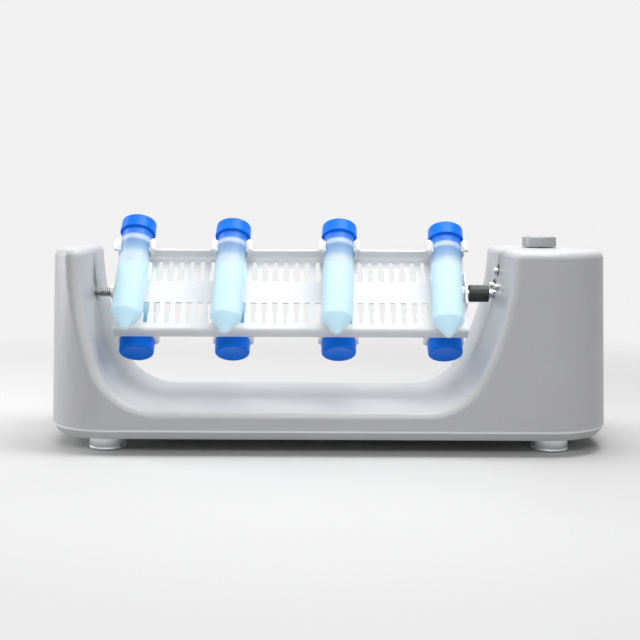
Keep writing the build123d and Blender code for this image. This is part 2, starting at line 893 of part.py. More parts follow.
def pivot_pin():
    """Sliding pin: nose in the rack's socket, collar for the spring, groove for the circlip."""
    pin = x_cylinder(pin_radius, circlip_x - circlip - pin_tail, collar_face + pin_nose)
    pin += x_cylinder(pin_collar_radius, collar_face - pin_collar, collar_face)
    groove = x_cylinder(pin_radius + 1, circlip_x - circlip, circlip_x)
    groove -= x_cylinder(circlip_seat_radius, circlip_x - circlip, circlip_x)
    nose = pin.edges().filter_by(GeomType.CIRCLE).sort_by(Axis.X)[-1]
    pin = chamfer(nose, pin_nose_chamfer)
    return Pos(0, 0, axis_height) * (pin - groove)


def pin_circlip():
    """Open retaining ring in the pin's groove."""
    ring = x_cylinder(circlip_radius, circlip_x - circlip, circlip_x)
    ring -= x_cylinder(circlip_seat_radius + fit_clearance, circlip_x - circlip, circlip_x)
    gap = Box(circlip, 2 * circlip_seat_radius - 1, circlip_radius)
    ring -= Pos(circlip_x - circlip / 2, 0, -circlip_radius / 2 - 1) * gap
    return Pos(0, 0, axis_height) * ring


def pivot_spring():
    """Compression spring between the bush flange and the pin's collar."""
    length = collar_face - pin_collar - bush_face - spring_wire - 2 * hole_clearance
    path = Helix(length / spring_turns, length, spring_radius)
    wire = Plane(path @ 0, z_dir=path % 0) * Circle(spring_wire / 2)
    coil = sweep(wire, path=path)
    return Pos(bush_face + spring_wire / 2 + hole_clearance, 0, axis_height) * Rot(0, 90, 0) * coil


def involute(angle):
    return tan(angle) - angle


def flank_point(teeth, radius, turn, side):
    """A point on one flank of a tooth centred on an angle."""
    pitch = gear_module * teeth / 2
    base = pitch * cos(pressure_angle)
    half_pitch = (pi * gear_module / 2 - gear_backlash) / (2 * pitch)
    half = half_pitch + involute(pressure_angle) - involute(acos(min(1.0, base / radius)))
    angle = turn + side * half
    return (radius * cos(angle), radius * sin(angle))


def gear_outline(teeth):
    """Outline of a spur gear with involute flanks, one tooth on the first axis."""
    pitch = gear_module * teeth / 2
    tip, root = pitch + gear_module, pitch - root_depth * gear_module
    low = max(root, pitch * cos(pressure_angle))
    edges, starts, ends = [], [], []
    for k in range(teeth):
        turn = 2 * pi * k / teeth
        low_points = [flank_point(teeth, low, turn, side) for side in (-1, 1)]
        mid_points = [flank_point(teeth, pitch, turn, side) for side in (-1, 1)]
        tip_points = [flank_point(teeth, tip, turn, side) for side in (-1, 1)]
        root_points = [(x * root / low, y * root / low) for x, y in low_points]
        for low_point, mid_point, tip_point in zip(low_points, mid_points, tip_points):
            edges.append(ThreePointArc(low_point, mid_point, tip_point))
        edges.append(Line(*tip_points))
        if low > root:
            edges += [Line(a, c) for a, c in zip(root_points, low_points)]
        starts.append(root_points[0])
        ends.append(root_points[1])
    edges += [Line(ends[k - 1], starts[k]) for k in range(teeth)]
    return make_face(Curve(edges))


def gear_blank(teeth, x0, x1, z, turn=0.0):
    """A spur gear on an axis along X."""
    flat = extrude(Rot(0, 0, turn) * gear_outline(teeth), amount=x1 - x0)
    return Pos(x0, 0, z) * Rot(0, 90, 0) * flat


def drive_gear():
    """Large gear on the output shaft, with a hub and lightening holes."""
    gear = gear_blank(drive_teeth, gear_left, gear_left + gear_width, axis_height)
    hub_gap = output_bush_flange + pin_face_gap
    gear += x_cylinder(gear_hub_radius, front_plate_back + hub_gap, rear_plate_x - hub_gap, 0, axis_height)
    gear -= x_cylinder(shaft_radius + fit_clearance, front_plate_back, rear_plate_x, 0, axis_height)
    for k in range(gear_holes):
        angle = 2 * pi * (k + 0.5) / gear_holes
        y, z = gear_hole_circle * cos(angle), axis_height + gear_hole_circle * sin(angle)
        gear -= x_cylinder(gear_hole_radius, gear_left, gear_left + gear_width, y, z)
    return gear


def motor_pinion():
    x0, x1 = gear_left - pinion_overhang, gear_left + gear_width + pinion_overhang
    pinion = gear_blank(pinion_teeth, x0, x1, motor_height, 180 / pinion_teeth)
    return pinion - x_cylinder(motor_shaft_radius + fit_clearance, x0, x1, 0, motor_height)


def output_shaft():
    end = rear_plate_back + shaft_meeting_gap
    return x_cylinder(shaft_radius, shaft_meeting + shaft_meeting_gap / 2, end, 0, axis_height)


def gear_plate_solid(x0):
    """One of the two plates that hold the gear train."""
    height = gear_plate_rise + gear_plate_drop
    middle = axis_height + (gear_plate_rise - gear_plate_drop) / 2
    plate = Pos(x0 + gear_plate / 2, 0, middle) * Box(gear_plate, gear_plate_width, height)
    plate = fillet(plate.edges().filter_by(Axis.X), post_inset)
    x1 = x0 + gear_plate
    plate -= x_cylinder(output_bush_barrel + fit_clearance, x0, x1, 0, axis_height)
    for y, z in post_places():
        plate -= x_cylinder(post_tenon_radius + fit_clearance, x0, x1, y, z)
    return plate


def post_places():
    y = gear_plate_width / 2 - post_inset
    low = axis_height - gear_plate_drop + post_inset
    high = axis_height + gear_plate_rise - post_inset
    return [(sy * y, z) for sy in (-1, 1) for z in (low, high)]


def gear_front_plate():
    plate = gear_plate_solid(gear_plate_x)
    for y, rise in face_screw_places:
        plate -= x_cylinder(
            face_screw_radius + fit_clearance, gear_plate_x, front_plate_back, y, axis_height + rise
        )
    return plate


def gear_rear_plate():
    plate = gear_plate_solid(rear_plate_x)
    plate -= x_cylinder(motor_boss_radius + fit_clearance, rear_plate_x, rear_plate_back, 0, motor_height)
    for y in (-motor_screw_spread, motor_screw_spread):
        plate -= x_cylinder(m3_radius + hole_clearance, rear_plate_x, rear_plate_back, y, motor_height)
    return plate


def gear_posts():
    """Four spacers with tenons riveted into both plates."""
    posts = []
    for y, z in post_places():
        post = x_cylinder(post_radius, front_plate_back, rear_plate_x, y, z)
        posts.append(post + x_cylinder(post_tenon_radius, gear_plate_x, rear_plate_back, y, z))
    return Compound(children=posts)


def output_bushes():
    """Flanged bushes for the output shaft, flanges towards the gear."""
    bushes = []
    for plate_face, side in ((front_plate_back, 1), (rear_plate_x, -1)):
        outside = plate_face - side * gear_plate
        flange_face = plate_face + side * output_bush_flange
        bush = x_cylinder(output_bush_barrel, outside, plate_face, 0, axis_height)
        bush += x_cylinder(output_bush_radius, plate_face, flange_face, 0, axis_height)
        bore = x_cylinder(shaft_radius + fit_clearance, outside, flange_face, 0, axis_height)
        bushes.append(bush - bore)
    return Compound(children=bushes)


def motor_can():
    """Drawn steel can with a front boss, a shaft bore and two tapped holes."""
    can = x_cylinder(motor_radius, rear_plate_back, rear_plate_back + motor_length, 0, motor_height)
    can = fillet(can.edges().filter_by(GeomType.CIRCLE), motor_edge_radius)
    can += x_cylinder(motor_boss_radius, rear_plate_back - motor_boss, rear_plate_back, 0, motor_height)
    can -= x_cylinder(
        motor_shaft_radius + fit_clearance,
        rear_plate_back - motor_boss,
        rear_plate_back + motor_bearing_depth,
        0,
        motor_height,
    )
    for y in (-motor_screw_spread, motor_screw_spread):
        can -= x_cylinder(
            m3_radius + fit_clearance, rear_plate_back, rear_plate_back + inner_screw_length, y, motor_height
        )
    return can


def motor_shaft():
    start = gear_left - pinion_overhang - pin_face_gap
    return x_cylinder(
        motor_shaft_radius, start, rear_plate_back + motor_bearing_depth - pin_face_gap, 0, motor_height
    )


def motor_end_cap():
    """Moulded brush cover with its two solder tags."""
    x = rear_plate_back + motor_length
    cover = x_cylinder(motor_cover_radius, x, x + motor_cover, 0, motor_height)
    for y in (-motor_screw_spread / 2, motor_screw_spread / 2):
        tag = Box(motor_tag_length, motor_tag_thickness, motor_tag_width)
        cover += Pos(x + motor_cover + motor_tag_length / 2 - 0.5, y, motor_height) * tag
    return cover


def inner_screws():
    """Small screws that hold the motor to its plate and the board to its posts."""
    screws = []
    for y in (-motor_screw_spread, motor_screw_spread):
        screw = x_cylinder(m3_head_radius, rear_plate_x - m3_head, rear_plate_x, y, motor_height)
        tip = rear_plate_back + inner_screw_length - 1
        screws.append(screw + x_cylinder(m3_radius, rear_plate_x, tip, y, motor_height))
    for x, y in board_posts:
        screw = z_cylinder(m3_head_radius, board_bottom - m3_head, board_bottom, x, y)
        screws.append(screw + z_cylinder(m3_radius, board_bottom, board_top + board_post_depth - 1, x, y))
    return Compound(children=screws)


def face_screws():
    """Cheese-head screws through the wall into the front gear plate."""
    screws = []
    for y, rise in face_screw_places:
        z = axis_height + rise
        seat = face_seat(z) - (face_washer if has_washer(y) else 0)
        head = x_cylinder(face_screw_head_radius, seat - face_screw_head, seat, y, z)
        head = fillet(head.edges().filter_by(GeomType.CIRCLE).sort_by(Axis.X)[0], face_screw_round)
        head -= Pos(seat - face_screw_head, y, z) * Box(
            2 * driver_slot_depth, driver_slot_width, 2 * face_screw_head_radius
        )
        screws.append(head + x_cylinder(face_screw_radius, seat, front_plate_back, y, z))
    return Compound(children=screws)


def has_washer(y):
    """Only the top screw and the one behind it show a black washer."""
    return y > -1


def face_washers():
    washers = []
    for y, rise in face_screw_places:
        z = axis_height + rise
        if has_washer(y):
            washer = x_cylinder(face_washer_radius, face_seat(z) - face_washer, face_seat(z), y, z)
            bore = x_cylinder(face_screw_radius + hole_clearance, coupling_right, gear_plate_x, y, z)
            washers.append(washer - bore)
    return Compound(children=washers)


def speed_control():
    """Rotary control under the top wall, its threaded bush standing through it."""
    body = z_cylinder(control_radius, board_top, housing_top - wall, knob_x, knob_y)
    body += z_cylinder(control_thread_radius, housing_top - wall, control_thread_top, knob_x, knob_y)
    bore_radius = control_shaft_radius + fit_clearance
    return body - z_cylinder(bore_radius, control_foot, control_thread_top, knob_x, knob_y)


def control_nut_ring():
    hexagon = Pos(knob_x, knob_y) * (
        RegularPolygon(control_nut_radius, 6) - Circle(control_thread_radius + fit_clearance)
    )
    return extrude(Plane.XY.offset(housing_top) * hexagon, amount=control_nut)


def control_shaft():
    """Turning spindle of the speed control, up into the knob's hub."""
    return z_cylinder(control_shaft_radius, control_foot + pin_face_gap, knob_seat, knob_x, knob_y)


def speed_knob():
    """Hollow knob with a hub; the nut and bush stand inside it."""
    knob = z_cylinder(knob_radius, knob_bottom, knob_top, knob_x, knob_y)
    knob = chamfer(knob.edges().group_by(Axis.Z)[-1], knob_chamfer)
    ceiling = knob_top - knob_wall
    knob -= z_cylinder(knob_radius - knob_wall, knob_bottom, ceiling, knob_x, knob_y)
    knob += z_cylinder(knob_hub_radius, control_thread_top + pin_face_gap, ceiling, knob_x, knob_y)
    bore = control_shaft_radius + fit_clearance
    knob -= z_cylinder(bore, control_thread_top, knob_seat + hole_clearance, knob_x, knob_y)
    return knob


def control_board():
    board = Pos(board_x, board_y, (board_top + board_bottom) / 2) * Box(
        board_width, board_depth, board_thickness
    )
    for x, y in board_posts:
        board -= z_cylinder(m3_radius + hole_clearance, board_bottom, board_top, x, y)
    return board


def switch_frame():
    """Rocker switch body with a lipped frame, open to the back for the rocker."""
    floor_y = housing_depth / 2 - panel_recess
    lip = Pos(switch_x, floor_y + switch_proud / 2, panel_z) * Box(switch_width, switch_proud, switch_height)
    lip = chamfer(lip.faces().sort_by(Axis.Y)[-1].edges(), switch_proud / 4)
    inner_width, inner_height = switch_width - 2 * switch_lip, switch_height - 2 * switch_lip
    body = Box(inner_width, switch_body_depth, inner_height)
    frame = lip + Pos(switch_x, floor_y - switch_body_depth / 2, panel_z) * body
    depth = rocker_room + switch_proud
    room = Box(rocker_length + 2 * rocker_clearance, depth, rocker_width + 2 * rocker_clearance)
    frame -= Pos(switch_x, floor_y + switch_proud - depth / 2, panel_z) * room
    pins = z_cylinder(
        rocker_pin_radius + fit_clearance,
        panel_z - rocker_pin_reach - hole_clearance,
        panel_z + rocker_pin_reach + hole_clearance,
        switch_x,
        rocker_pivot_y,
    )
    return frame - pins


def power_rocker():
    """Rocker with a dished top on two stub pins, tipped to its off side."""
    half = rocker_length / 2
    points = [
        (-half, -rocker_skirt),
        (-half, rocker_rise),
        (0, rocker_dip),
        (half, rocker_rise),
        (half, -rocker_skirt),
        (0, -rocker_keel),
    ]
    plate = extrude(make_face(Polyline(*points, close=True)), amount=rocker_width / 2, both=True)
    rocker = plate + z_cylinder(rocker_pin_radius, -rocker_pin_reach, rocker_pin_reach)
    return Pos(switch_x, rocker_pivot_y, panel_z) * Rot(0, 0, rocker_angle) * rocker


def inlet_socket():
    """Round low-voltage inlet, flanged outside and threaded inside."""
    floor_y = housing_depth / 2 - panel_recess
    socket = y_cylinder(inlet_flange_radius, floor_y, floor_y + inlet_flange, inlet_x, panel_z)
    socket += y_cylinder(inlet_radius, floor_y - inlet_depth, floor_y, inlet_x, panel_z)
    bore_end = floor_y + inlet_flange - inlet_bore_depth
    socket -= y_cylinder(inlet_bore, bore_end, floor_y + inlet_flange, inlet_x, panel_z)
    root = inlet_pin_radius + fit_clearance
    return socket - y_cylinder(root, bore_end - inlet_pin_root, bore_end, inlet_x, panel_z)


def inlet_pin():
    floor_y = housing_depth / 2 - panel_recess
    bore_end = floor_y + inlet_flange - inlet_bore_depth
    return y_cylinder(
        inlet_pin_radius, bore_end - inlet_pin_root, floor_y + inlet_flange - 1, inlet_x, panel_z
    )


def inlet_nut():
    inside = housing_depth / 2 - panel_recess - wall
    nut = y_cylinder(inlet_flange_radius, inside - control_nut, inside, inlet_x, panel_z)
    return nut - y_cylinder(inlet_radius + fit_clearance, inside - control_nut, inside, inlet_x, panel_z)


def clips(side):
    return Compound(children=[front_and_rear(clip(), tube_x(k), side) for k in range(len(tube_places))])


def sample_liquid():
    """Liquid in every tube, level at rest; the rear tubes stand on their caps."""
    bodies = []
    for side, rise in ((1, front_liquid_rise), (-1, rear_liquid_rise)):
        for k in range(len(tube_places)):
            room = Pos(0, -tube_offset, 0) * liquid(cap_top_of(side, k))
            bodies.append(below(front_and_rear(room, tube_x(k), side), axis_height + rise))
    return Compound(children=bodies)


def save_tubes():
    """Each tube and each cap as a node of its own."""
    for side, row in ((1, "front"), (-1, "rear")):
        for k in range(len(tube_places)):
            top = cap_top_of(side, k)
            save(front_and_rear(Pos(0, -tube_offset, 0) * tube(top), tube_x(k), side), f"{row}_tube_{k + 1}")
            save(front_and_rear(Pos(0, -tube_offset, 0) * cap(top), tube_x(k), side), f"{row}_cap_{k + 1}")


def main():
    os.makedirs("parts", exist_ok=True)
    save(housing_shell(), "housing_shell")
    save(base_tray(), "base_tray")
    save(at_places(foot(), foot_places), "feet")
    save(at_places(foot_pad(), foot_places), "foot_pads")
    save(at_places(foot_screw(), foot_places), "foot_screws")
    save(base_screws(), "base_screws")
    save(pivot_bush(), "pivot_bush")
    save(pivot_pin(), "pivot_pin")
    save(pin_circlip(), "pin_circlip")
    save(pivot_spring(), "pivot_spring")
    save(tube_rack(), "tube_rack")
    save(rack_end_plates(), "rack_end_plates")
    save(idler_socket(), "idler_socket")
    save(stub_shaft(), "stub_shaft")
    save(hub_rivets(), "hub_rivets")
    save(clips(1), "front_clips")
    save(clips(-1), "rear_clips")
    save_tubes()
    save(sample_liquid(), "sample_liquid")
    save(coupling_sleeve(), "coupling_sleeve")
    save(coupling_screws(), "coupling_screws")
    save(output_shaft(), "output_shaft")
    save(drive_gear(), "drive_gear")
    save(gear_front_plate(), "gear_front_plate")
    save(gear_rear_plate(), "gear_rear_plate")
    save(gear_posts(), "gear_posts")
    save(output_bushes(), "output_bushes")
    save(motor_pinion(), "motor_pinion")
    save(motor_shaft(), "motor_shaft")
    save(motor_can(), "motor_can")
    save(motor_end_cap(), "motor_end_cap")
    save(inner_screws(), "inner_screws")
    save(face_screws(), "face_screws")
    save(face_washers(), "face_washers")
    save(speed_control(), "speed_control")
    save(control_nut_ring(), "control_nut")
    save(control_shaft(), "control_shaft")
    save(speed_knob(), "speed_knob")
    save(control_board(), "control_board")
    save(switch_frame(), "switch_frame")
    save(power_rocker(), "power_rocker")
    save(inlet_socket(), "inlet_socket")
    save(inlet_pin(), "inlet_pin")
    save(inlet_nut(), "inlet_nut")


main()
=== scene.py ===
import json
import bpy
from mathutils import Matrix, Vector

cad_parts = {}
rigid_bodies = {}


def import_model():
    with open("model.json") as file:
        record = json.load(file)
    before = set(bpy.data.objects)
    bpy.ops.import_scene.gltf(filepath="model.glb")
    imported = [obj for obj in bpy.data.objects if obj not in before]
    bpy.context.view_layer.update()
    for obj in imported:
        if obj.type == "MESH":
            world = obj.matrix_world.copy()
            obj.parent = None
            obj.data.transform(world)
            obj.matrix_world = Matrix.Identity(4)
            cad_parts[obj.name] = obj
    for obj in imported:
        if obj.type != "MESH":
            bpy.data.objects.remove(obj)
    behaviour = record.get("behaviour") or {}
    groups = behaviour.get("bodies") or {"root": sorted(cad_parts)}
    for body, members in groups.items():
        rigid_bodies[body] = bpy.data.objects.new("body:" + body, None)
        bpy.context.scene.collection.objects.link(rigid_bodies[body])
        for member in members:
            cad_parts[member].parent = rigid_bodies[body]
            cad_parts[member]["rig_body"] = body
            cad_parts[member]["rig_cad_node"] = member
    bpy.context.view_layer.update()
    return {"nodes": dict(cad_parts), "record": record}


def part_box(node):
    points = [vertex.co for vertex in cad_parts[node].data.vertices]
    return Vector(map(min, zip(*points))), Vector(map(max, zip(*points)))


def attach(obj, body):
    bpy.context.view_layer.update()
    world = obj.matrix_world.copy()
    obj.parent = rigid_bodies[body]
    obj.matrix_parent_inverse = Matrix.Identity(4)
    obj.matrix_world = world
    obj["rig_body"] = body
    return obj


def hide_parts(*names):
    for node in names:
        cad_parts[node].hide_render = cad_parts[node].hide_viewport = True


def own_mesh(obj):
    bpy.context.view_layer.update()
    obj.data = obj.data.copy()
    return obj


bl_info = {
    "name": "Tube rotator",
    "version": (1, 0, 0),
    "blender": (4, 5, 0),
    "location": "View3D > Sidebar > Rotator",
    "description": "Finishes the packed model of a tube rotator and sets the studio round it",
    "category": "Object",
}

from math import pi, radians

import bmesh
import bpy
from mathutils import Matrix, Vector

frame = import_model()

MM = 0.001
NODES = frame["nodes"]
ROWS = ("front", "rear")

# Tubes along the rack, in slots from its middle, and how much higher each front one sits, mm
TUBE_PLACES = (-14.5, -5.5, 4.5, 14.5)
TUBE_SLIPS = (4.0, 0.0, 0.0, -3.0)

# Floor of a tube, top of a cap, and the play round the neck and the liquid, mm
TUBE_FLOOR = 2.0
CAP_TOP_WALL = 1.6
CAP_NECK_CLEARANCE = 0.3
LIQUID_GAP = 0.05

# Bead on a clip's ear: size, stretch along the tube and place from the tube's axis
CLIP_BEAD_RADIUS = 3.1 * MM
CLIP_BEAD_STRETCH = 2.2
CLIP_BEAD_PLACE = (16.8 * MM, -7.5 * MM, 30.7 * MM)

# Feet from the middle of the footprint, mm
FOOT_PLACES = ((-206.0, -45.5), (206.0, -45.5), (-206.0, 45.5), (206.0, 45.5))

# Painted highlight over the seam of housing and tray: metres, share at full tone, and tone
SEAM_HEIGHT = 0.0217
SEAM_HIGHLIGHT_WIDTH = 0.0022
SEAM_HIGHLIGHT_FULL = 0.6
SEAM_HIGHLIGHT_TONE = 1.5

# Neck of a tube: reach and wander in metres of the painted blue cast from light through the cap,
# then tones along that reach: the painted cast, a paler band over the thread ring, and a painted
# darker band where the clip behind shows through
NECK_REACH = 0.030
NECK_WANDER = 0.0012
NECK_PAINTED_CAST = (0.015, 0.20, 0.88)
NECK_TONES = (
    (0.25, (0.05, 0.28, 0.90)),
    (0.32, (0.66, 0.80, 0.95)),
    (0.42, (0.68, 0.82, 0.95)),
    (0.50, (0.27, 0.47, 0.72)),
    (0.78, (0.42, 0.64, 0.82)),
)

# Opacity of a tube at its neck and further down, and the share of the reach that it changes over
NECK_OPACITY = 0.75
WALL_OPACITY = 0.5
OPACITY_REACH = 0.6

# Painted glow inside caps and liquid, standing in for light that passes through them
CAP_PAINTED_GLOW = (0.01, 0.25, 1.0)
LIQUID_PAINTED_GLOW = (0.22, 0.80, 1.0)

# Band that most noise lies in; finishes spread it over their own range
NOISE_LOW = 0.3
NOISE_HIGH = 0.7

# Angles in degrees: edges that are rounded, turned and coiled faces that shade as one, flat joins
SHARP_EDGE = 35.0
TURNED_SMOOTH = 40.0
WIRE_SMOOTH = 60.0
FLAT_JOIN = 0.5

# Distances under which points are one, metres
TURNED_MERGE = 1e-6
CAD_MERGE = 2e-6

# Camera: lens and sensor in mm, shift in frames, place and reach in metres, roll in degrees
CAMERA_LENS = 62.27
CAMERA_SENSOR = 36.0
CAMERA_SHIFT = (0.0203, -0.1906)
CAMERA_PLACE = (-0.021, -1.079, 0.2333)
CAMERA_ROLL = 0.26
CAMERA_REACH = 50.0

# Lamps: name, place, aim, size in metres, and watts
LAMPS = (
    ("top softbox", (0.0, 0.05, 1.25), (0.0, 0.0, 0.1), (1.5, 0.9), 7.5),
    ("front softbox", (0.0, -1.3, 0.95), (0.0, 0.0, 0.15), (0.5, 0.4), 6.4),
    ("back softbox", (0.0, 1.1, 1.15), (0.0, 0.0, 0.05), (1.4, 0.5), 7.0),
    ("left strip", (-1.1, 0.2, 0.45), (0.1, 0.0, 0.10), (0.35, 0.8), 6.0),
    ("right strip", (0.15, -0.1, 0.85), (-0.25, 0.0, 0.08), (0.3, 0.6), 3.6),
)

# Backdrop as a light and as it is seen, where 1 is white
AMBIENT_LEVEL = 0.21
BACKDROP_LEVEL = 0.88

# Floor: its tone as a reflector, its radius, and where it fades into the backdrop, metres
FLOOR_BOUNCE = (0.55, 0.55, 0.55)
FLOOR_REACH = 12.0
FADE_START = 0.38
FADE_END = 0.95


# Properties


def length(name, description, default):
    """A length with its default in millimetres."""
    return bpy.props.FloatProperty(
        name=name,
        description=description,
        default=default * MM,
        subtype="DISTANCE",
        unit="LENGTH",
        precision=5,
    )


def angle(name, description, default):
    """An angle with its default in degrees."""
    return bpy.props.FloatProperty(
        name=name, description=description, default=radians(default), subtype="ANGLE"
    )


def colour(name, description, default):
    """A linear colour."""
    return bpy.props.FloatVectorProperty(
        name=name,
        description=description,
        default=default,
        size=3,
        min=0.0,
        max=1.0,
        subtype="COLOR",
    )


class RotatorSizes(bpy.types.PropertyGroup):
    """Sizes of the rotor, the tubes and the turned pieces"""

    axis_height: length("Axis height", "Height of the rotor's axis over the table", 141.0)
    rack_tilt: angle("Rack tilt", "Lean of the rack at rest", 35.0)
    rack_middle: length("Rack middle", "Place of the rack's middle along its length", -36.0)
    slot_pitch: length("Slot pitch", "Distance from slot to slot", 10.35)
    tube_radius: length("Tube radius", "Outside radius of a tube", 14.75)
    tube_wall: length("Tube wall", "Thickness of a tube's wall", 1.2)
    tube_length: length("Tube length", "Length of a tube without its cap", 116.0)
    tube_offset: length("Tube offset", "Distance from the rack to a tube's axis", 30.0)
    cone_length: length("Cone length", "Length of a tube's conical tip", 16.0)
    tube_lean: angle("Tube lean", "Lean of the front tubes in their clips", 2.1)
    front_cap_top: length("Front cap top", "Top of a front cap over the axis", 57.0)
    rear_cap_top: length("Rear cap top", "Top of a rear cap beyond the axis", 51.0)
    cap_radius: length("Cap radius", "Outside radius of a screw cap", 17.25)
    cap_height: length("Cap height", "Height of a screw cap", 13.5)
    knob_radius: length("Knob radius", "Outside radius of the speed knob", 16.75)
    knob_x: length("Knob place", "Place of the knob along the rotator", 211.0)
    knob_y: length("Knob depth", "Place of the knob from front to back", 27.0)
    knob_foot: length("Knob foot", "Height of the knob's lower rim", 186.2)
    foot_radius: length("Foot radius", "Outside radius of a foot", 16.8)
    foot_height: length("Foot height", "Height of a foot", 14.2)
    front_level: length("Front level", "Surface of the front samples over the axis", 31.0)
    rear_level: length("Rear level", "Surface of the rear samples over the axis", -2.0)


class RotatorColours(bpy.types.PropertyGroup):
    """Colours of the finishes"""

    housing: colour("Housing", "Light grey moulding", (0.50, 0.503, 0.515))
    base: colour("Base", "Grey tray under the seam", (0.50, 0.515, 0.52))
    rack: colour("Rack", "White powder coat", (0.88, 0.88, 0.88))
    clip: colour("Clips", "White nylon", (0.92, 0.92, 0.91))
    cap: colour("Caps", "Bright blue moulding", (0.0, 0.165, 0.80))
    tube: colour("Tubes", "Frosted polypropylene", (0.86, 0.97, 1.0))
    liquid: colour("Liquid", "Pale cyan sample", (0.36, 0.82, 1.0))
    knob: colour("Knob", "Grey moulding", (0.33, 0.35, 0.36))
    floor: colour("Floor", "Pale studio floor", (0.66, 0.66, 0.66))


def sizes():
    return bpy.context.scene.rotator_sizes


def colours():
    return bpy.context.scene.rotator_colours


# Finishes


def tune(node, settings):
    """Sets plain values on a node's sockets."""
    for socket, value in settings.items():
        node.inputs[socket].default_value = value


def shader_of(finish):
    return finish.node_tree.nodes["Principled BSDF"]


def new_finish(name, base, roughness, metallic=0.0):
    """A principled material of one colour, roughness and metalness."""
    finish = bpy.data.materials.new(name)
    finish.use_nodes = True
    plain = {"Base Color": (*base, 1.0), "Roughness": roughness, "Metallic": metallic}
    tune(shader_of(finish), plain)
    return finish


def noise(finish, scale, detail=3.0, stretch=(1.0, 1.0, 1.0)):
    """Noise on object coordinates, stretched for brushed or drawn surfaces."""
    tree = finish.node_tree
    place = tree.nodes.new("ShaderNodeTexCoord")
    mapping = tree.nodes.new("ShaderNodeMapping")
    tune(mapping, {"Scale": stretch})
    texture = tree.nodes.new("ShaderNodeTexNoise")
    tune(texture, {"Scale": scale, "Detail": detail})
    tree.links.new(place.outputs["Object"], mapping.inputs["Vector"])
    tree.links.new(mapping.outputs["Vector"], texture.inputs["Vector"])
    return texture.outputs["Fac"]


def remap(tree, signal, ranges, smooth=False):
    """A signal spread from one range of values over another."""
    spread = tree.nodes.new("ShaderNodeMapRange")
    if smooth:
        spread.interpolation_type = "SMOOTHSTEP"
    tune(spread, ranges)
    tree.links.new(signal, spread.inputs["Value"])
    return spread.outputs["Result"]


def shade(base, factor):
    """A colour made lighter or darker."""
    return tuple(min(1.0, c * factor) for c in base)


def vary_colour(finish, signal, base, low, high):
    """Colour drifts between two shades of the base over the surface."""
    tree = finish.node_tree
    ramp = tree.nodes.new("ShaderNodeValToRGB")
    dark, light = ramp.color_ramp.elements
    dark.position, dark.color = NOISE_LOW, (*shade(base, low), 1.0)
    light.position, light.color = NOISE_HIGH, (*shade(base, high), 1.0)
    tree.links.new(signal, ramp.inputs["Fac"])
    tree.links.new(ramp.outputs["Color"], shader_of(finish).inputs["Base Color"])


def vary_roughness(finish, signal, low, high):
    """Sheen drifts between two roughnesses over the surface."""
    tree = finish.node_tree
    ranges = {"From Min": NOISE_LOW, "From Max": NOISE_HIGH, "To Min": low, "To Max": high}
    tree.links.new(remap(tree, signal, ranges), shader_of(finish).inputs["Roughness"])


def raise_grain(finish, signal, depth, strength):
    """Fine relief from a noise signal; depth in metres."""
    tree = finish.node_tree
    bump = tree.nodes.new("ShaderNodeBump")
    tune(bump, {"Strength": strength, "Distance": depth})
    tree.links.new(signal, bump.inputs["Height"])
    tree.links.new(bump.outputs["Normal"], shader_of(finish).inputs["Normal"])


def moulded(name, base, roughness=0.45, grain=900.0, depth=0.06 * MM):
    """Spark-grained plastic with a faint drift of tone and sheen."""
    finish = new_finish(name, base, roughness)
    vary_colour(finish, noise(finish, scale=9.0, detail=2.0), base, low=0.975, high=1.02)
    vary_roughness(finish, noise(finish, scale=40.0), roughness - 0.05, roughness + 0.06)
    raise_grain(finish, noise(finish, scale=grain, detail=2.0), depth, strength=0.35)
    return finish


def brushed(name, base, roughness, stretch=(1.0, 1.0, 1.0)):
    """Turned, ground or drawn metal with fine tool marks."""
    finish = new_finish(name, base, roughness, metallic=1.0)
    marks = noise(finish, scale=1500.0, detail=2.0, stretch=stretch)
    vary_colour(finish, noise(finish, scale=30.0), base, low=0.93, high=1.04)
    vary_roughness(finish, marks, roughness - 0.08, roughness + 0.12)
    raise_grain(finish, marks, depth=0.03 * MM, strength=0.4)
    return finish


def housing_plastic(name, base):
    """Moulded plastic with a painted highlight band just above the seam."""
    finish = moulded(name, base, roughness=0.38)
    tree = finish.node_tree
    skin = shader_of(finish).inputs["Base Color"]
    place = tree.nodes.new("ShaderNodeTexCoord")
    height = tree.nodes.new("ShaderNodeSeparateXYZ")
    tree.links.new(place.outputs["Object"], height.inputs["Vector"])
    # The lighter band just above the seam is a painted highlight
    highlight_band = {"From Min": SEAM_HEIGHT + SEAM_HIGHLIGHT_WIDTH, "From Max": SEAM_HEIGHT + SEAM_HIGHLIGHT_FULL * SEAM_HIGHLIGHT_WIDTH}
    tone = tree.nodes.new("ShaderNodeMix")
    tone.data_type = "RGBA"
    tune(tone, {"B": (*shade(base, SEAM_HIGHLIGHT_TONE), 1.0)})
    tree.links.new(remap(tree, height.outputs["Z"], highlight_band, smooth=True), tone.inputs["Factor"])
    tree.links.new(skin.links[0].from_socket, tone.inputs["A"])
    tree.links.new(tone.outputs["Result"], skin)
    return finish


def cap_plastic(name, base):
    """Blue moulding with a painted glow inside."""
    finish = new_finish(name, base, roughness=0.32)
    vary_colour(finish, noise(finish, scale=60.0), base, low=0.94, high=1.06)
    raise_grain(finish, noise(finish, scale=900.0), depth=0.02 * MM, strength=0.3)
    # The blue emission is a painted glow standing in for light through the cap
    inside = {
        "Specular IOR Level": 0.15,
        "Emission Color": (*CAP_PAINTED_GLOW, 1.0),
        "Emission Strength": 0.08,
        "Subsurface Weight": 0.25,
        "Subsurface Radius": (0.2, 0.6, 1.0),
        "Subsurface Scale": 0.003,
    }
    tune(shader_of(finish), inside)
    return finish


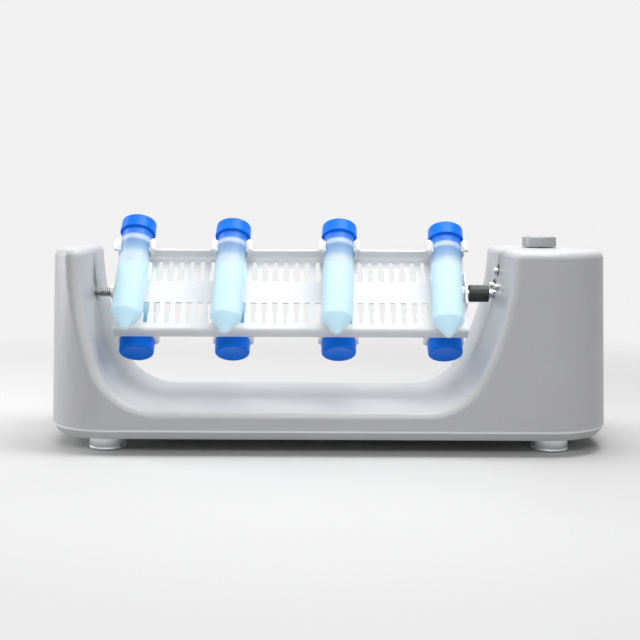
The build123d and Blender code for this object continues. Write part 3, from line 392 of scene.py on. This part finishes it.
def tube_plastic(name, base):
    """Frosted wall with a painted glow; at the neck a painted blue cast from the cap's light, a
    paler band over the thread ring and a painted darker band where the clip shows through.
    """
    finish = new_finish(name, base, roughness=0.34)
    tree = finish.node_tree
    shader = shader_of(finish)
    depth = tree.nodes.new("ShaderNodeAttribute")
    depth.attribute_name = "below_cap"
    wander = tree.nodes.new("ShaderNodeMath")
    wander.operation = "MULTIPLY_ADD"
    wander.inputs[1].default_value = NECK_WANDER
    tree.links.new(noise(finish, scale=120.0), wander.inputs[0])
    tree.links.new(depth.outputs["Fac"], wander.inputs[2])
    reach = remap(tree, wander.outputs["Value"], {"From Max": NECK_REACH})
    # Colour along the neck: painted blue cast of the cap's light, a paler band over the thread
    # ring, and a painted darker band where the clip shows through
    ramp = tree.nodes.new("ShaderNodeValToRGB")
    ramp.color_ramp.elements[0].color = (*NECK_PAINTED_CAST, 1.0)
    ramp.color_ramp.elements[1].color = (*base, 1.0)
    for place, tone in NECK_TONES:
        ramp.color_ramp.elements.new(place).color = (*tone, 1.0)
    tree.links.new(reach, ramp.inputs["Fac"])
    tree.links.new(ramp.outputs["Color"], shader.inputs["Base Color"])
    tree.links.new(ramp.outputs["Color"], shader.inputs["Emission Color"])
    raise_grain(finish, noise(finish, scale=1200.0), depth=0.03 * MM, strength=0.3)
    opacity = {"From Max": OPACITY_REACH, "To Min": NECK_OPACITY, "To Max": WALL_OPACITY}
    tree.links.new(remap(tree, reach, opacity), shader.inputs["Alpha"])
    # Emission in the wall's own colour is a painted glow, so the painted cast at the neck glows
    # too
    tune(shader, {"Emission Strength": 0.09, "Specular IOR Level": 0.4})
    return finish


def tinted_liquid(name, base):
    """See-through liquid with a painted glow inside."""
    finish = new_finish(name, base, roughness=0.12)
    vary_colour(finish, noise(finish, scale=25.0), base, low=0.96, high=1.03)
    # The cyan emission is a painted glow standing in for light through the liquid
    inside = {
        "Emission Color": (*LIQUID_PAINTED_GLOW, 1.0),
        "Emission Strength": 0.24,
        "Alpha": 0.8,
        "IOR": 1.33,
    }
    tune(shader_of(finish), inside)
    return finish


def finishes():
    """All finishes by the slot that they fill, each with its colour and roughness."""
    tones = colours()
    along = (0.02, 1.0, 1.0)
    upright = (1.0, 1.0, 0.05)
    powder = {"roughness": 0.34, "grain": 500.0, "depth": 0.08 * MM}
    nylon = {"roughness": 0.3, "grain": 700.0, "depth": 0.03 * MM}
    oxide = {"roughness": 0.42, "grain": 600.0, "depth": 0.04 * MM}
    return {
        "housing": housing_plastic("housing plastic", tones.housing),
        "base": moulded("base plastic", tones.base, 0.42),
        "foot_metal": brushed("turned aluminium", (0.80, 0.81, 0.83), 0.5, upright),
        "foot_rubber": moulded("foot rubber", (0.03, 0.03, 0.03), 0.8),
        "zinc_screw": brushed("zinc plate", (0.62, 0.62, 0.60), 0.32),
        "bush_brass": brushed("turned brass", (0.72, 0.58, 0.32), 0.34, along),
        "bush_white": moulded("bush acetal", (0.70, 0.71, 0.72), 0.35),
        "shaft_steel": brushed("ground steel", (0.60, 0.61, 0.62), 0.2, along),
        "spring_steel": brushed("spring wire", (0.34, 0.33, 0.31), 0.28),
        "rack_white": moulded("powder coat", tones.rack, **powder),
        "clip_white": moulded("clip nylon", tones.clip, **nylon),
        "cap_blue": cap_plastic("cap plastic", tones.cap),
        "tube_clear": tube_plastic("frosted polypropylene", tones.tube),
        "liquid": tinted_liquid("sample liquid", tones.liquid),
        "coupling_black": moulded("black oxide", (0.018, 0.018, 0.018), **oxide),
        "gear_nylon": moulded("gear nylon", (0.82, 0.80, 0.74)),
        "plate_zinc": brushed("zinc sheet", (0.56, 0.57, 0.58), 0.36),
        "motor_metal": brushed("drawn can", (0.50, 0.51, 0.52), 0.34, along),
        "black_plastic": moulded("black plastic", (0.025, 0.025, 0.025), 0.4),
        "face_screw": brushed("polished steel", (0.66, 0.66, 0.65), 0.16),
        "washer_black": moulded("washer fibre", (0.02, 0.02, 0.02), 0.6),
        "control_body": brushed("pressed case", (0.55, 0.55, 0.53), 0.4),
        "knob_grey": moulded("knob plastic", tones.knob, 0.36),
        "board_green": moulded("board lacquer", (0.02, 0.16, 0.07), 0.3),
        "rocker_black": moulded("rocker plastic", (0.02, 0.02, 0.02), 0.25),
    }


# Filled once the colours are registered
FINISHES = {}


def dress(piece, slot):
    """Gives a piece its finish."""
    piece.data.materials.clear()
    piece.data.materials.append(FINISHES[slot])


# Shapes


def piece_from(shape, name, slot, body, replaced=(), smooth=30.0):
    """A finished object from a bmesh: smooth shading, finish, body, and the nodes it replaces
    hidden.
    """
    mesh = bpy.data.meshes.new(name)
    shape.to_mesh(mesh)
    shape.free()
    mesh.shade_smooth()
    mesh.set_sharp_from_angle(angle=radians(smooth))
    piece = bpy.data.objects.new(name, mesh)
    bpy.context.scene.collection.objects.link(piece)
    dress(piece, slot)
    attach(piece, body)
    if replaced:
        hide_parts(*replaced)
    return piece


def ease_edges(shape, width):
    """Rounds every sharp edge."""
    limit = radians(SHARP_EDGE)
    sharp = [e for e in shape.edges if len(e.link_faces) == 2 and e.calc_face_angle(0.0) > limit]
    bmesh.ops.bevel(
        shape,
        geom=sharp,
        offset=width,
        offset_type="OFFSET",
        segments=2,
        profile=0.5,
        affect="EDGES",
        clamp_overlap=True,
        material=-1,
    )


def turned(profile, steps=64):
    """A shape turned about Z from radius and height pairs in millimetres."""
    shape = bmesh.new()
    verts = [shape.verts.new((r * MM, 0.0, z * MM)) for r, z in profile]
    edges = [shape.edges.new(pair) for pair in zip(verts, verts[1:])]
    bmesh.ops.spin(
        shape,
        geom=verts + edges,
        cent=(0, 0, 0),
        axis=(0, 0, 1),
        angle=2 * pi,
        steps=steps,
        use_merge=True,
        use_duplicate=False,
    )
    bmesh.ops.remove_doubles(shape, verts=shape.verts[:], dist=TURNED_MERGE)
    bmesh.ops.recalc_face_normals(shape, faces=shape.faces[:])
    return shape


def joined(shapes):
    """Several shapes as one."""
    whole = bmesh.new()
    for shape in shapes:
        mesh = bpy.data.meshes.new("part")
        shape.to_mesh(mesh)
        shape.free()
        whole.from_mesh(mesh)
        bpy.data.meshes.remove(mesh)
    return whole


def moved(shape, matrix):
    """The same shape at its new place."""
    shape.transform(matrix)
    return shape


def eased_copy(node, name, slot, width=0.0, smooth=30.0):
    """A merged copy of a CAD node with softened edges, standing for that node."""
    shape = bmesh.new()
    shape.from_mesh(NODES[node].data)
    bmesh.ops.remove_doubles(shape, verts=shape.verts[:], dist=CAD_MERGE)
    if width:
        bmesh.ops.dissolve_limit(
            shape,
            angle_limit=radians(FLAT_JOIN),
            verts=shape.verts[:],
            edges=shape.edges[:],
            use_dissolve_boundaries=False,
        )
        ease_edges(shape, width)
    piece = piece_from(shape, name, slot, NODES[node]["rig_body"], (node,), smooth)
    weighted = piece.modifiers.new("even shading", "WEIGHTED_NORMAL")
    weighted.keep_sharp = True
    return piece


def rotor_matrix():
    """From an upright rack about its axis to the rack at rest."""
    s = sizes()
    return Matrix.Translation((0, 0, s.axis_height)) @ Matrix.Rotation(-s.rack_tilt, 4, "X")


def tube_seats():
    """Row and number of every tube."""
    return [(row, k) for row in ROWS for k in range(len(TUBE_PLACES))]


def seat_matrix(row, k):
    """From a clip round an upright axis to its place in the rack."""
    s = sizes()
    x = s.rack_middle + TUBE_PLACES[k] * s.slot_pitch
    turn = Matrix.Rotation(pi, 4, "X") if row == "rear" else Matrix.Identity(4)
    return rotor_matrix() @ turn @ Matrix.Translation((x, -s.tube_offset, 0))


def tube_matrix(row, k):
    """From a tube standing on its own axis to its place in its clip; only front tubes lean."""
    s = sizes()
    place = seat_matrix(row, k)
    if row == "rear":
        return place
    pivot = Matrix.Translation((0, 0, s.front_cap_top - s.cap_height))
    return place @ pivot @ Matrix.Rotation(s.tube_lean, 4, "Y") @ pivot.inverted()


def cap_top_mm(row, k):
    """Top of a tube's cap from the rotor's axis."""
    s = sizes()
    if row == "rear":
        return s.rear_cap_top / MM
    return s.front_cap_top / MM + TUBE_SLIPS[k]


# Pieces


class ROTATOR_OT_housing(bpy.types.Operator):
    """Light grey U-shaped housing and the darker base tray"""

    bl_idname = "rotator.housing"
    bl_label = "Housing and base"

    def execute(self, context):
        eased_copy("housing_shell", "housing_body", "housing", smooth=25)
        eased_copy("base_tray", "base_body", "base", smooth=25)
        return {"FINISHED"}


class ROTATOR_OT_feet(bpy.types.Operator):
    """Round metal feet with rubber pads"""

    bl_idname = "rotator.feet"
    bl_label = "Feet"

    def execute(self, context):
        cup = self.cup_profile()
        places = [Matrix.Translation((x * MM, y * MM, 0)) for x, y in FOOT_PLACES]
        cups = [moved(turned(cup, steps=72), place) for place in places]
        piece_from(joined(cups), "foot_cups", "foot_metal", "base", ("feet",), TURNED_SMOOTH)
        eased_copy("foot_pads", "foot_cushions", "foot_rubber", 0.3 * MM)
        return {"FINISHED"}

    def cup_profile(self):
        """A cup with a fine groove above its lip, open below for the pad."""
        s = sizes()
        radius, height = s.foot_radius / MM, s.foot_height / MM
        lip, groove = 0.6, 3.1
        pocket, pocket_top = 14.05, 2.5
        return [
            (0.0, height),
            (radius - 1.0, height),
            (radius - 0.3, height - 0.3),
            (radius, height - 1.0),
            (radius, groove + 0.3),
            (radius - 0.25, groove),
            (radius, groove - 0.3),
            (radius, lip + 1.0),
            (radius - 0.35, lip + 0.3),
            (radius - 1.2, lip),
            (pocket, lip),
            (pocket, pocket_top),
            (0.0, pocket_top),
        ]


class ROTATOR_OT_rack(bpy.types.Operator):
    """Slotted rack with its ends and clips"""

    bl_idname = "rotator.rack"
    bl_label = "Rack and clips"

    def execute(self, context):
        eased_copy("tube_rack", "slotted_rack", "rack_white")
        eased_copy("rack_end_plates", "rack_ends", "rack_white", 0.3 * MM)
        eased_copy("front_clips", "front_tube_clips", "clip_white", 0.9 * MM)
        eased_copy("rear_clips", "rear_tube_clips", "clip_white", 0.9 * MM)
        beads = []
        for row, k in tube_seats():
            beads += [moved(self.bead(side), seat_matrix(row, k)) for side in (-1, 1)]
        piece_from(joined(beads), "clip_beads", "clip_white", "rotor")
        return {"FINISHED"}

    def bead(self, side):
        """The round end of a clip's ear."""
        x, y, z = CLIP_BEAD_PLACE
        shape = bmesh.new()
        bmesh.ops.create_uvsphere(shape, u_segments=24, v_segments=16, radius=CLIP_BEAD_RADIUS)
        bmesh.ops.scale(shape, vec=(1.0, 1.0, CLIP_BEAD_STRETCH), verts=shape.verts[:])
        bmesh.ops.translate(shape, vec=(side * x, y, z), verts=shape.verts[:])
        return shape


class ROTATOR_OT_tubes(bpy.types.Operator):
    """Eight conical tubes, half of them upside down"""

    bl_idname = "rotator.tubes"
    bl_label = "Tubes"

    def execute(self, context):
        for row, k in tube_seats():
            top = cap_top_mm(row, k)
            shape = turned(self.profile(top))
            depth = shape.verts.layers.float.new("below_cap")
            for v in shape.verts:
                v[depth] = top * MM - sizes().cap_height - v.co.z
            shape = moved(shape, tube_matrix(row, k))
            name, node = f"{row}_tube_body_{k + 1}", f"{row}_tube_{k + 1}"
            piece_from(shape, name, "tube_clear", "rotor", (node,), TURNED_SMOOTH)
        return {"FINISHED"}

    def profile(self, top):
        """Outside and inside of a conical tube, from the tip's middle round to the floor's."""
        s = sizes()
        radius = s.tube_radius / MM
        inside = radius - s.tube_wall / MM
        rim = top - CAP_TOP_WALL
        tip = rim - s.tube_length / MM
        floor = tip + TUBE_FLOOR
        shoulder = tip + s.cone_length / MM
        collar = top - s.cap_height / MM - 1.2
        ring = radius + 0.15
        return [
            (0.0, tip),
            (2.0, tip),
            (3.1, tip + 0.4),
            (3.7, tip + 1.4),
            (radius - 0.7, shoulder - 1.0),
            (radius - 0.15, shoulder),
            (radius, shoulder + 1.2),
            (radius, collar - 24.0),
            (radius, collar - 16.0),
            (radius, collar - 12.0),
            (ring, collar - 10.5),
            (ring, collar - 8.5),
            (radius, collar - 7.5),
            (radius, collar - 4.0),
            (radius, collar),
            (radius, rim - 0.3),
            (radius - 0.3, rim),
            (inside + 0.2, rim),
            (inside, rim - 0.3),
            (inside, shoulder + 0.9),
            (inside - 0.6, shoulder - 0.6),
            (2.6, floor + 0.4),
            (2.0, floor),
            (0.0, floor),
        ]


class ROTATOR_OT_caps(bpy.types.Operator):
    """Blue screw caps"""

    bl_idname = "rotator.caps"
    bl_label = "Caps"

    def execute(self, context):
        for row, k in tube_seats():
            shape = turned(self.profile(cap_top_mm(row, k)), steps=96)
            shape = moved(shape, tube_matrix(row, k))
            name, node = f"{row}_screw_cap_{k + 1}", f"{row}_cap_{k + 1}"
            piece_from(shape, name, "cap_blue", "rotor", (node,), TURNED_SMOOTH)
        return {"FINISHED"}

    def profile(self, top):
        """Flat disc with a fine rim, round shoulder and a slightly flared skirt."""
        s = sizes()
        radius, foot = s.cap_radius / MM, top - s.cap_height / MM
        bore = s.tube_radius / MM + CAP_NECK_CLEARANCE
        ceiling = top - CAP_TOP_WALL
        return [
            (0.0, top - 0.35),
            (radius - 4.9, top - 0.35),
            (radius - 4.6, top - 0.2),
            (radius - 4.3, top),
            (radius - 1.9, top - 0.15),
            (radius - 1.2, top - 0.4),
            (radius - 0.7, top - 0.9),
            (radius - 0.45, top - 1.6),
            (radius - 0.35, top - 2.6),
            (radius - 0.15, foot + 2.0),
            (radius, foot + 1.2),
            (radius, foot + 0.5),
            (radius - 0.3, foot + 0.1),
            (radius - 0.7, foot),
            (bore + 0.3, foot),
            (bore, foot + 0.3),
            (bore, ceiling),
            (0.0, ceiling),
        ]


class ROTATOR_OT_samples(bpy.types.Operator):
    """Liquid in the tubes, level at rest"""

    bl_idname = "rotator.samples"
    bl_label = "Samples"

    def execute(self, context):
        s = sizes()
        levels = {"front": s.front_level, "rear": s.rear_level}
        fills = []
        for row, k in tube_seats():
            shape = moved(turned(self.profile(cap_top_mm(row, k))), tube_matrix(row, k))
            fills.append(self.filled_to(shape, s.axis_height + levels[row]))
        samples = joined(fills)
        piece_from(samples, "tube_samples", "liquid", "rotor", ("sample_liquid",), TURNED_SMOOTH)
        return {"FINISHED"}

    def profile(self, top):
        """The room inside a tube, a hair smaller than its wall."""
        s = sizes()
        inside = (s.tube_radius - s.tube_wall) / MM - LIQUID_GAP
        rim = top - CAP_TOP_WALL
        tip = rim - s.tube_length / MM
        floor = tip + TUBE_FLOOR + LIQUID_GAP
        shoulder = tip + s.cone_length / MM
        return [
            (0.0, floor),
            (2.0, floor + 0.05),
            (2.5, floor + 0.45),
            (inside - 0.6, shoulder - 0.5),
            (inside, shoulder + 1.0),
            (inside, rim - LIQUID_GAP),
            (0.0, rim - LIQUID_GAP),
        ]

    def filled_to(self, shape, level):
        """The part of a closed shape under a level surface, closed by that surface."""
        cut = bmesh.ops.bisect_plane(
            shape,
            geom=shape.verts[:] + shape.edges[:] + shape.faces[:],
            plane_co=(0, 0, level),
            plane_no=(0, 0, 1),
            clear_outer=True,
        )
        rim = [e for e in cut["geom_cut"] if isinstance(e, bmesh.types.BMEdge)]
        bmesh.ops.edgenet_fill(shape, edges=rim)
        return shape


class ROTATOR_OT_knob(bpy.types.Operator):
    """Speed knob with a dished top"""

    bl_idname = "rotator.knob"
    bl_label = "Speed knob"

    def execute(self, context):
        s = sizes()
        place = Matrix.Translation((s.knob_x, s.knob_y, s.knob_foot))
        shape = moved(turned(self.profile(), steps=96), place)
        piece_from(shape, "speed_knob_body", "knob_grey", "knob", ("speed_knob",), TURNED_SMOOTH)
        return {"FINISHED"}

    def profile(self):
        """A dished top, a drafted skirt, and a hub inside with a bore for the spindle."""
        radius = sizes().knob_radius / MM
        top, ceiling = 9.8, 7.8
        skirt = radius - 2.0
        hub, hub_foot = 5.0, 2.6
        bore, bore_top = 2.45, 6.9
        return [
            (0.0, top - 0.9),
            (radius - 4.0, top - 0.8),
            (radius - 2.2, top - 0.2),
            (radius - 1.6, top),
            (radius - 1.1, top),
            (radius - 0.4, top - 0.5),
            (radius - 0.15, top - 1.4),
            (radius, 1.0),
            (radius, 0.3),
            (radius - 0.3, 0.0),
            (skirt + 0.2, 0.0),
            (skirt, 0.2),
            (skirt, ceiling),
            (hub, ceiling),
            (hub, hub_foot),
            (bore, hub_foot),
            (bore, bore_top),
            (0.0, bore_top),
        ]


class ROTATOR_OT_pivot(bpy.types.Operator):
    """Sprung pivot at the idle end: coil spring, pin, clip and bush"""

    bl_idname = "rotator.pivot"
    bl_label = "Sprung pivot"

    turns = 8.0
    steps_per_turn = 24
    wire_radius = 0.5 * MM
    wire_sides = 12
    coil_radius = 4.2 * MM
    travel = 7.0 * MM

    def execute(self, context):
        axis_height = sizes().axis_height
        low, high = (Vector(corner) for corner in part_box("pivot_spring"))
        coil = moved(self.coil(low.x, high.x), Matrix.Translation((0, 0, axis_height)))
        node = ("pivot_spring",)
        piece = piece_from(coil, "pivot_coil", "spring_steel", "pin", node, WIRE_SMOOTH)
        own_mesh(piece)
        eased_copy("pivot_pin", "sprung_pin", "shaft_steel", 0.3 * MM)
        eased_copy("pin_circlip", "pin_ring", "spring_steel", 0.2 * MM)
        eased_copy("pivot_bush", "guide_bush", "bush_white", 0.3 * MM)
        return {"FINISHED"}

    def coil(self, low, high):
        """A coil of round wire about X that just fits between two places on it."""
        start, end = low + self.wire_radius, high - self.wire_radius
        steps = round(self.turns * self.steps_per_turn)
        shape = bmesh.new()
        wire = bmesh.ops.create_circle(
            shape, cap_ends=False, radius=self.wire_radius, segments=self.wire_sides
        )["verts"]
        bmesh.ops.rotate(shape, verts=wire, matrix=Matrix.Rotation(pi / 2, 3, "X"))
        bmesh.ops.translate(shape, verts=wire, vec=(start, 0, self.coil_radius))
        bmesh.ops.spin(
            shape,
            geom=shape.verts[:] + shape.edges[:],
            cent=(0, 0, 0),
            axis=(1, 0, 0),
            dvec=((end - start) / steps, 0, 0),
            angle=2 * pi * self.turns,
            steps=steps,
            use_duplicate=False,
        )
        bmesh.ops.holes_fill(shape, edges=shape.edges[:], sides=self.wire_sides)
        bmesh.ops.recalc_face_normals(shape, faces=shape.faces[:])
        return shape


class ROTATOR_OT_drive(bpy.types.Operator):
    """Drive end and hubs: coupling, shafts, bush, rivets, screws and washers"""

    bl_idname = "rotator.drive"
    bl_label = "Drive end"

    def execute(self, context):
        eased_copy("coupling_sleeve", "drive_coupling", "coupling_black", 0.3 * MM)
        eased_copy("coupling_screws", "coupling_grubs", "zinc_screw", 0.2 * MM)
        eased_copy("stub_shaft", "rack_stub", "shaft_steel", 0.3 * MM)
        eased_copy("output_shaft", "drive_shaft", "shaft_steel", 0.3 * MM)
        eased_copy("idler_socket", "idler_bush", "bush_brass", 0.3 * MM)
        eased_copy("hub_rivets", "hub_rivet_heads", "zinc_screw", 0.2 * MM)
        eased_copy("face_screws", "wall_screws", "face_screw", 0.2 * MM)
        eased_copy("face_washers", "wall_washers", "washer_black", 0.1 * MM)
        return {"FINISHED"}


class ROTATOR_OT_connections(bpy.types.Operator):
    """Switch, rocker and inlet on the back, and the nut under the knob"""

    bl_idname = "rotator.connections"
    bl_label = "Rear connections"

    def execute(self, context):
        eased_copy("switch_frame", "switch_bezel", "black_plastic", 0.3 * MM)
        eased_copy("power_rocker", "switch_rocker", "rocker_black", 0.3 * MM)
        eased_copy("inlet_socket", "inlet_body", "black_plastic", 0.3 * MM)
        eased_copy("inlet_pin", "inlet_contact", "plate_zinc", 0.2 * MM)
        eased_copy("control_nut", "control_locknut", "plate_zinc", 0.2 * MM)
        return {"FINISHED"}


class ROTATOR_OT_stage(bpy.types.Operator):
    """Camera, soft lights and the pale floor"""

    bl_idname = "rotator.stage"
    bl_label = "Stage"

    def execute(self, context):
        scene = context.scene
        scene.view_settings.view_transform = "Standard"
        self.add_camera(scene)
        self.add_world(scene)
        self.add_floor(scene)
        self.add_lamps(scene)
        return {"FINISHED"}

    def add_camera(self, scene):
        """A level camera that looks along Y."""
        camera = bpy.data.cameras.new("camera")
        camera.lens = CAMERA_LENS
        camera.sensor_width = CAMERA_SENSOR
        camera.shift_x, camera.shift_y = CAMERA_SHIFT
        camera.clip_end = CAMERA_REACH
        eye = bpy.data.objects.new("camera", camera)
        level = Matrix.Rotation(pi / 2, 4, "X") @ Matrix.Rotation(radians(CAMERA_ROLL), 4, "Z")
        eye.matrix_world = Matrix.Translation(CAMERA_PLACE) @ level
        scene.collection.objects.link(eye)
        scene.camera = eye

    def add_lamps(self, scene):
        for name, place, aim, size, power in LAMPS:
            lamp = bpy.data.lights.new(name, "AREA")
            lamp.shape = "RECTANGLE"
            lamp.size, lamp.size_y = size
            lamp.energy = power
            light = bpy.data.objects.new(name, lamp)
            light.location = place
            beam = Vector(aim) - Vector(place)
            light.rotation_euler = beam.to_track_quat("-Z", "Y").to_euler()
            scene.collection.objects.link(light)

    def seen(self, tree):
        """One for rays from the camera and in gloss or glass, zero for light on the object."""
        rays = tree.nodes.new("ShaderNodeLightPath")
        level = rays.outputs["Is Camera Ray"]
        for ray in ("Is Glossy Ray", "Is Transmission Ray"):
            larger = tree.nodes.new("ShaderNodeMath")
            larger.operation = "MAXIMUM"
            tree.links.new(level, larger.inputs[0])
            tree.links.new(rays.outputs[ray], larger.inputs[1])
            level = larger.outputs["Value"]
        return level

    def backdrop_strength(self, tree, seen):
        """Pale where the backdrop is seen, dim where it lights the object."""
        return remap(tree, seen, {"To Min": AMBIENT_LEVEL, "To Max": BACKDROP_LEVEL})

    def add_world(self, scene):
        world = bpy.data.worlds.new("studio")
        world.use_nodes = True
        scene.world = world
        tree = world.node_tree
        background = tree.nodes["Background"]
        tune(background, {"Color": (1.0, 1.0, 1.0, 1.0)})
        strength = self.backdrop_strength(tree, self.seen(tree))
        tree.links.new(strength, background.inputs["Strength"])

    def add_floor(self, scene):
        """A pale sheet that takes the shadow and runs into the backdrop further out."""
        shape = bmesh.new()
        bmesh.ops.create_circle(shape, cap_ends=True, radius=FLOOR_REACH, segments=96)
        mesh = bpy.data.meshes.new("floor")
        shape.to_mesh(mesh)
        shape.free()
        floor = bpy.data.objects.new("floor", mesh)
        scene.collection.objects.link(floor)
        floor.data.materials.append(self.floor_paper())

    def floor_paper(self):
        """Matt paper near the object, the backdrop's glow further out."""
        tone = colours().floor
        paper = new_finish("floor paper", tone, roughness=0.9)
        tree = paper.node_tree
        shader = shader_of(paper)
        tune(shader, {"Specular IOR Level": 0.0})
        seen = self.seen(tree)
        sheet = tree.nodes.new("ShaderNodeMix")
        sheet.data_type = "RGBA"
        tune(sheet, {"A": (*FLOOR_BOUNCE, 1.0), "B": (*tone, 1.0)})
        tree.links.new(seen, sheet.inputs["Factor"])
        tree.links.new(sheet.outputs["Result"], shader.inputs["Base Color"])
        raise_grain(paper, noise(paper, scale=60.0), depth=0.3 * MM, strength=0.1)
        glow = tree.nodes.new("ShaderNodeEmission")
        tree.links.new(self.backdrop_strength(tree, seen), glow.inputs["Strength"])
        place = tree.nodes.new("ShaderNodeTexCoord")
        distance = tree.nodes.new("ShaderNodeVectorMath")
        distance.operation = "LENGTH"
        tree.links.new(place.outputs["Object"], distance.inputs[0])
        edge = {"From Min": FADE_START, "From Max": FADE_END}
        blend = tree.nodes.new("ShaderNodeMixShader")
        fade = remap(tree, distance.outputs["Value"], edge, smooth=True)
        tree.links.new(fade, blend.inputs["Fac"])
        tree.links.new(shader.outputs["BSDF"], blend.inputs[1])
        tree.links.new(glow.outputs["Emission"], blend.inputs[2])
        tree.links.new(blend.outputs["Shader"], tree.nodes["Material Output"].inputs["Surface"])
        return paper


# Add-on


PIECES = (
    ROTATOR_OT_housing,
    ROTATOR_OT_feet,
    ROTATOR_OT_rack,
    ROTATOR_OT_tubes,
    ROTATOR_OT_caps,
    ROTATOR_OT_samples,
    ROTATOR_OT_knob,
    ROTATOR_OT_pivot,
    ROTATOR_OT_drive,
    ROTATOR_OT_connections,
    ROTATOR_OT_stage,
)


class ROTATOR_PT_panel(bpy.types.Panel):
    """Sidebar list of the rotator's pieces"""

    bl_idname = "ROTATOR_PT_panel"
    bl_label = "Tube rotator"
    bl_space_type = "VIEW_3D"
    bl_region_type = "UI"
    bl_category = "Rotator"

    def draw(self, context):
        for piece in PIECES:
            self.layout.operator(piece.bl_idname)


CLASSES = (RotatorSizes, RotatorColours, *PIECES, ROTATOR_PT_panel)


def register():
    for cls in CLASSES:
        bpy.utils.register_class(cls)
    bpy.types.Scene.rotator_sizes = bpy.props.PointerProperty(type=RotatorSizes)
    bpy.types.Scene.rotator_colours = bpy.props.PointerProperty(type=RotatorColours)


def unregister():
    del bpy.types.Scene.rotator_sizes
    del bpy.types.Scene.rotator_colours
    for cls in reversed(CLASSES):
        bpy.utils.unregister_class(cls)


def main():
    register()
    FINISHES.update(finishes())
    for entry in frame["record"]["subparts"]:
        dress(NODES[entry["node"]], entry["material_slot"])
    bpy.ops.rotator.housing()
    bpy.ops.rotator.feet()
    bpy.ops.rotator.rack()
    bpy.ops.rotator.tubes()
    bpy.ops.rotator.caps()
    bpy.ops.rotator.samples()
    bpy.ops.rotator.knob()
    bpy.ops.rotator.pivot()
    bpy.ops.rotator.drive()
    bpy.ops.rotator.connections()
    bpy.ops.rotator.stage()


if __name__ == "__main__":
    main()
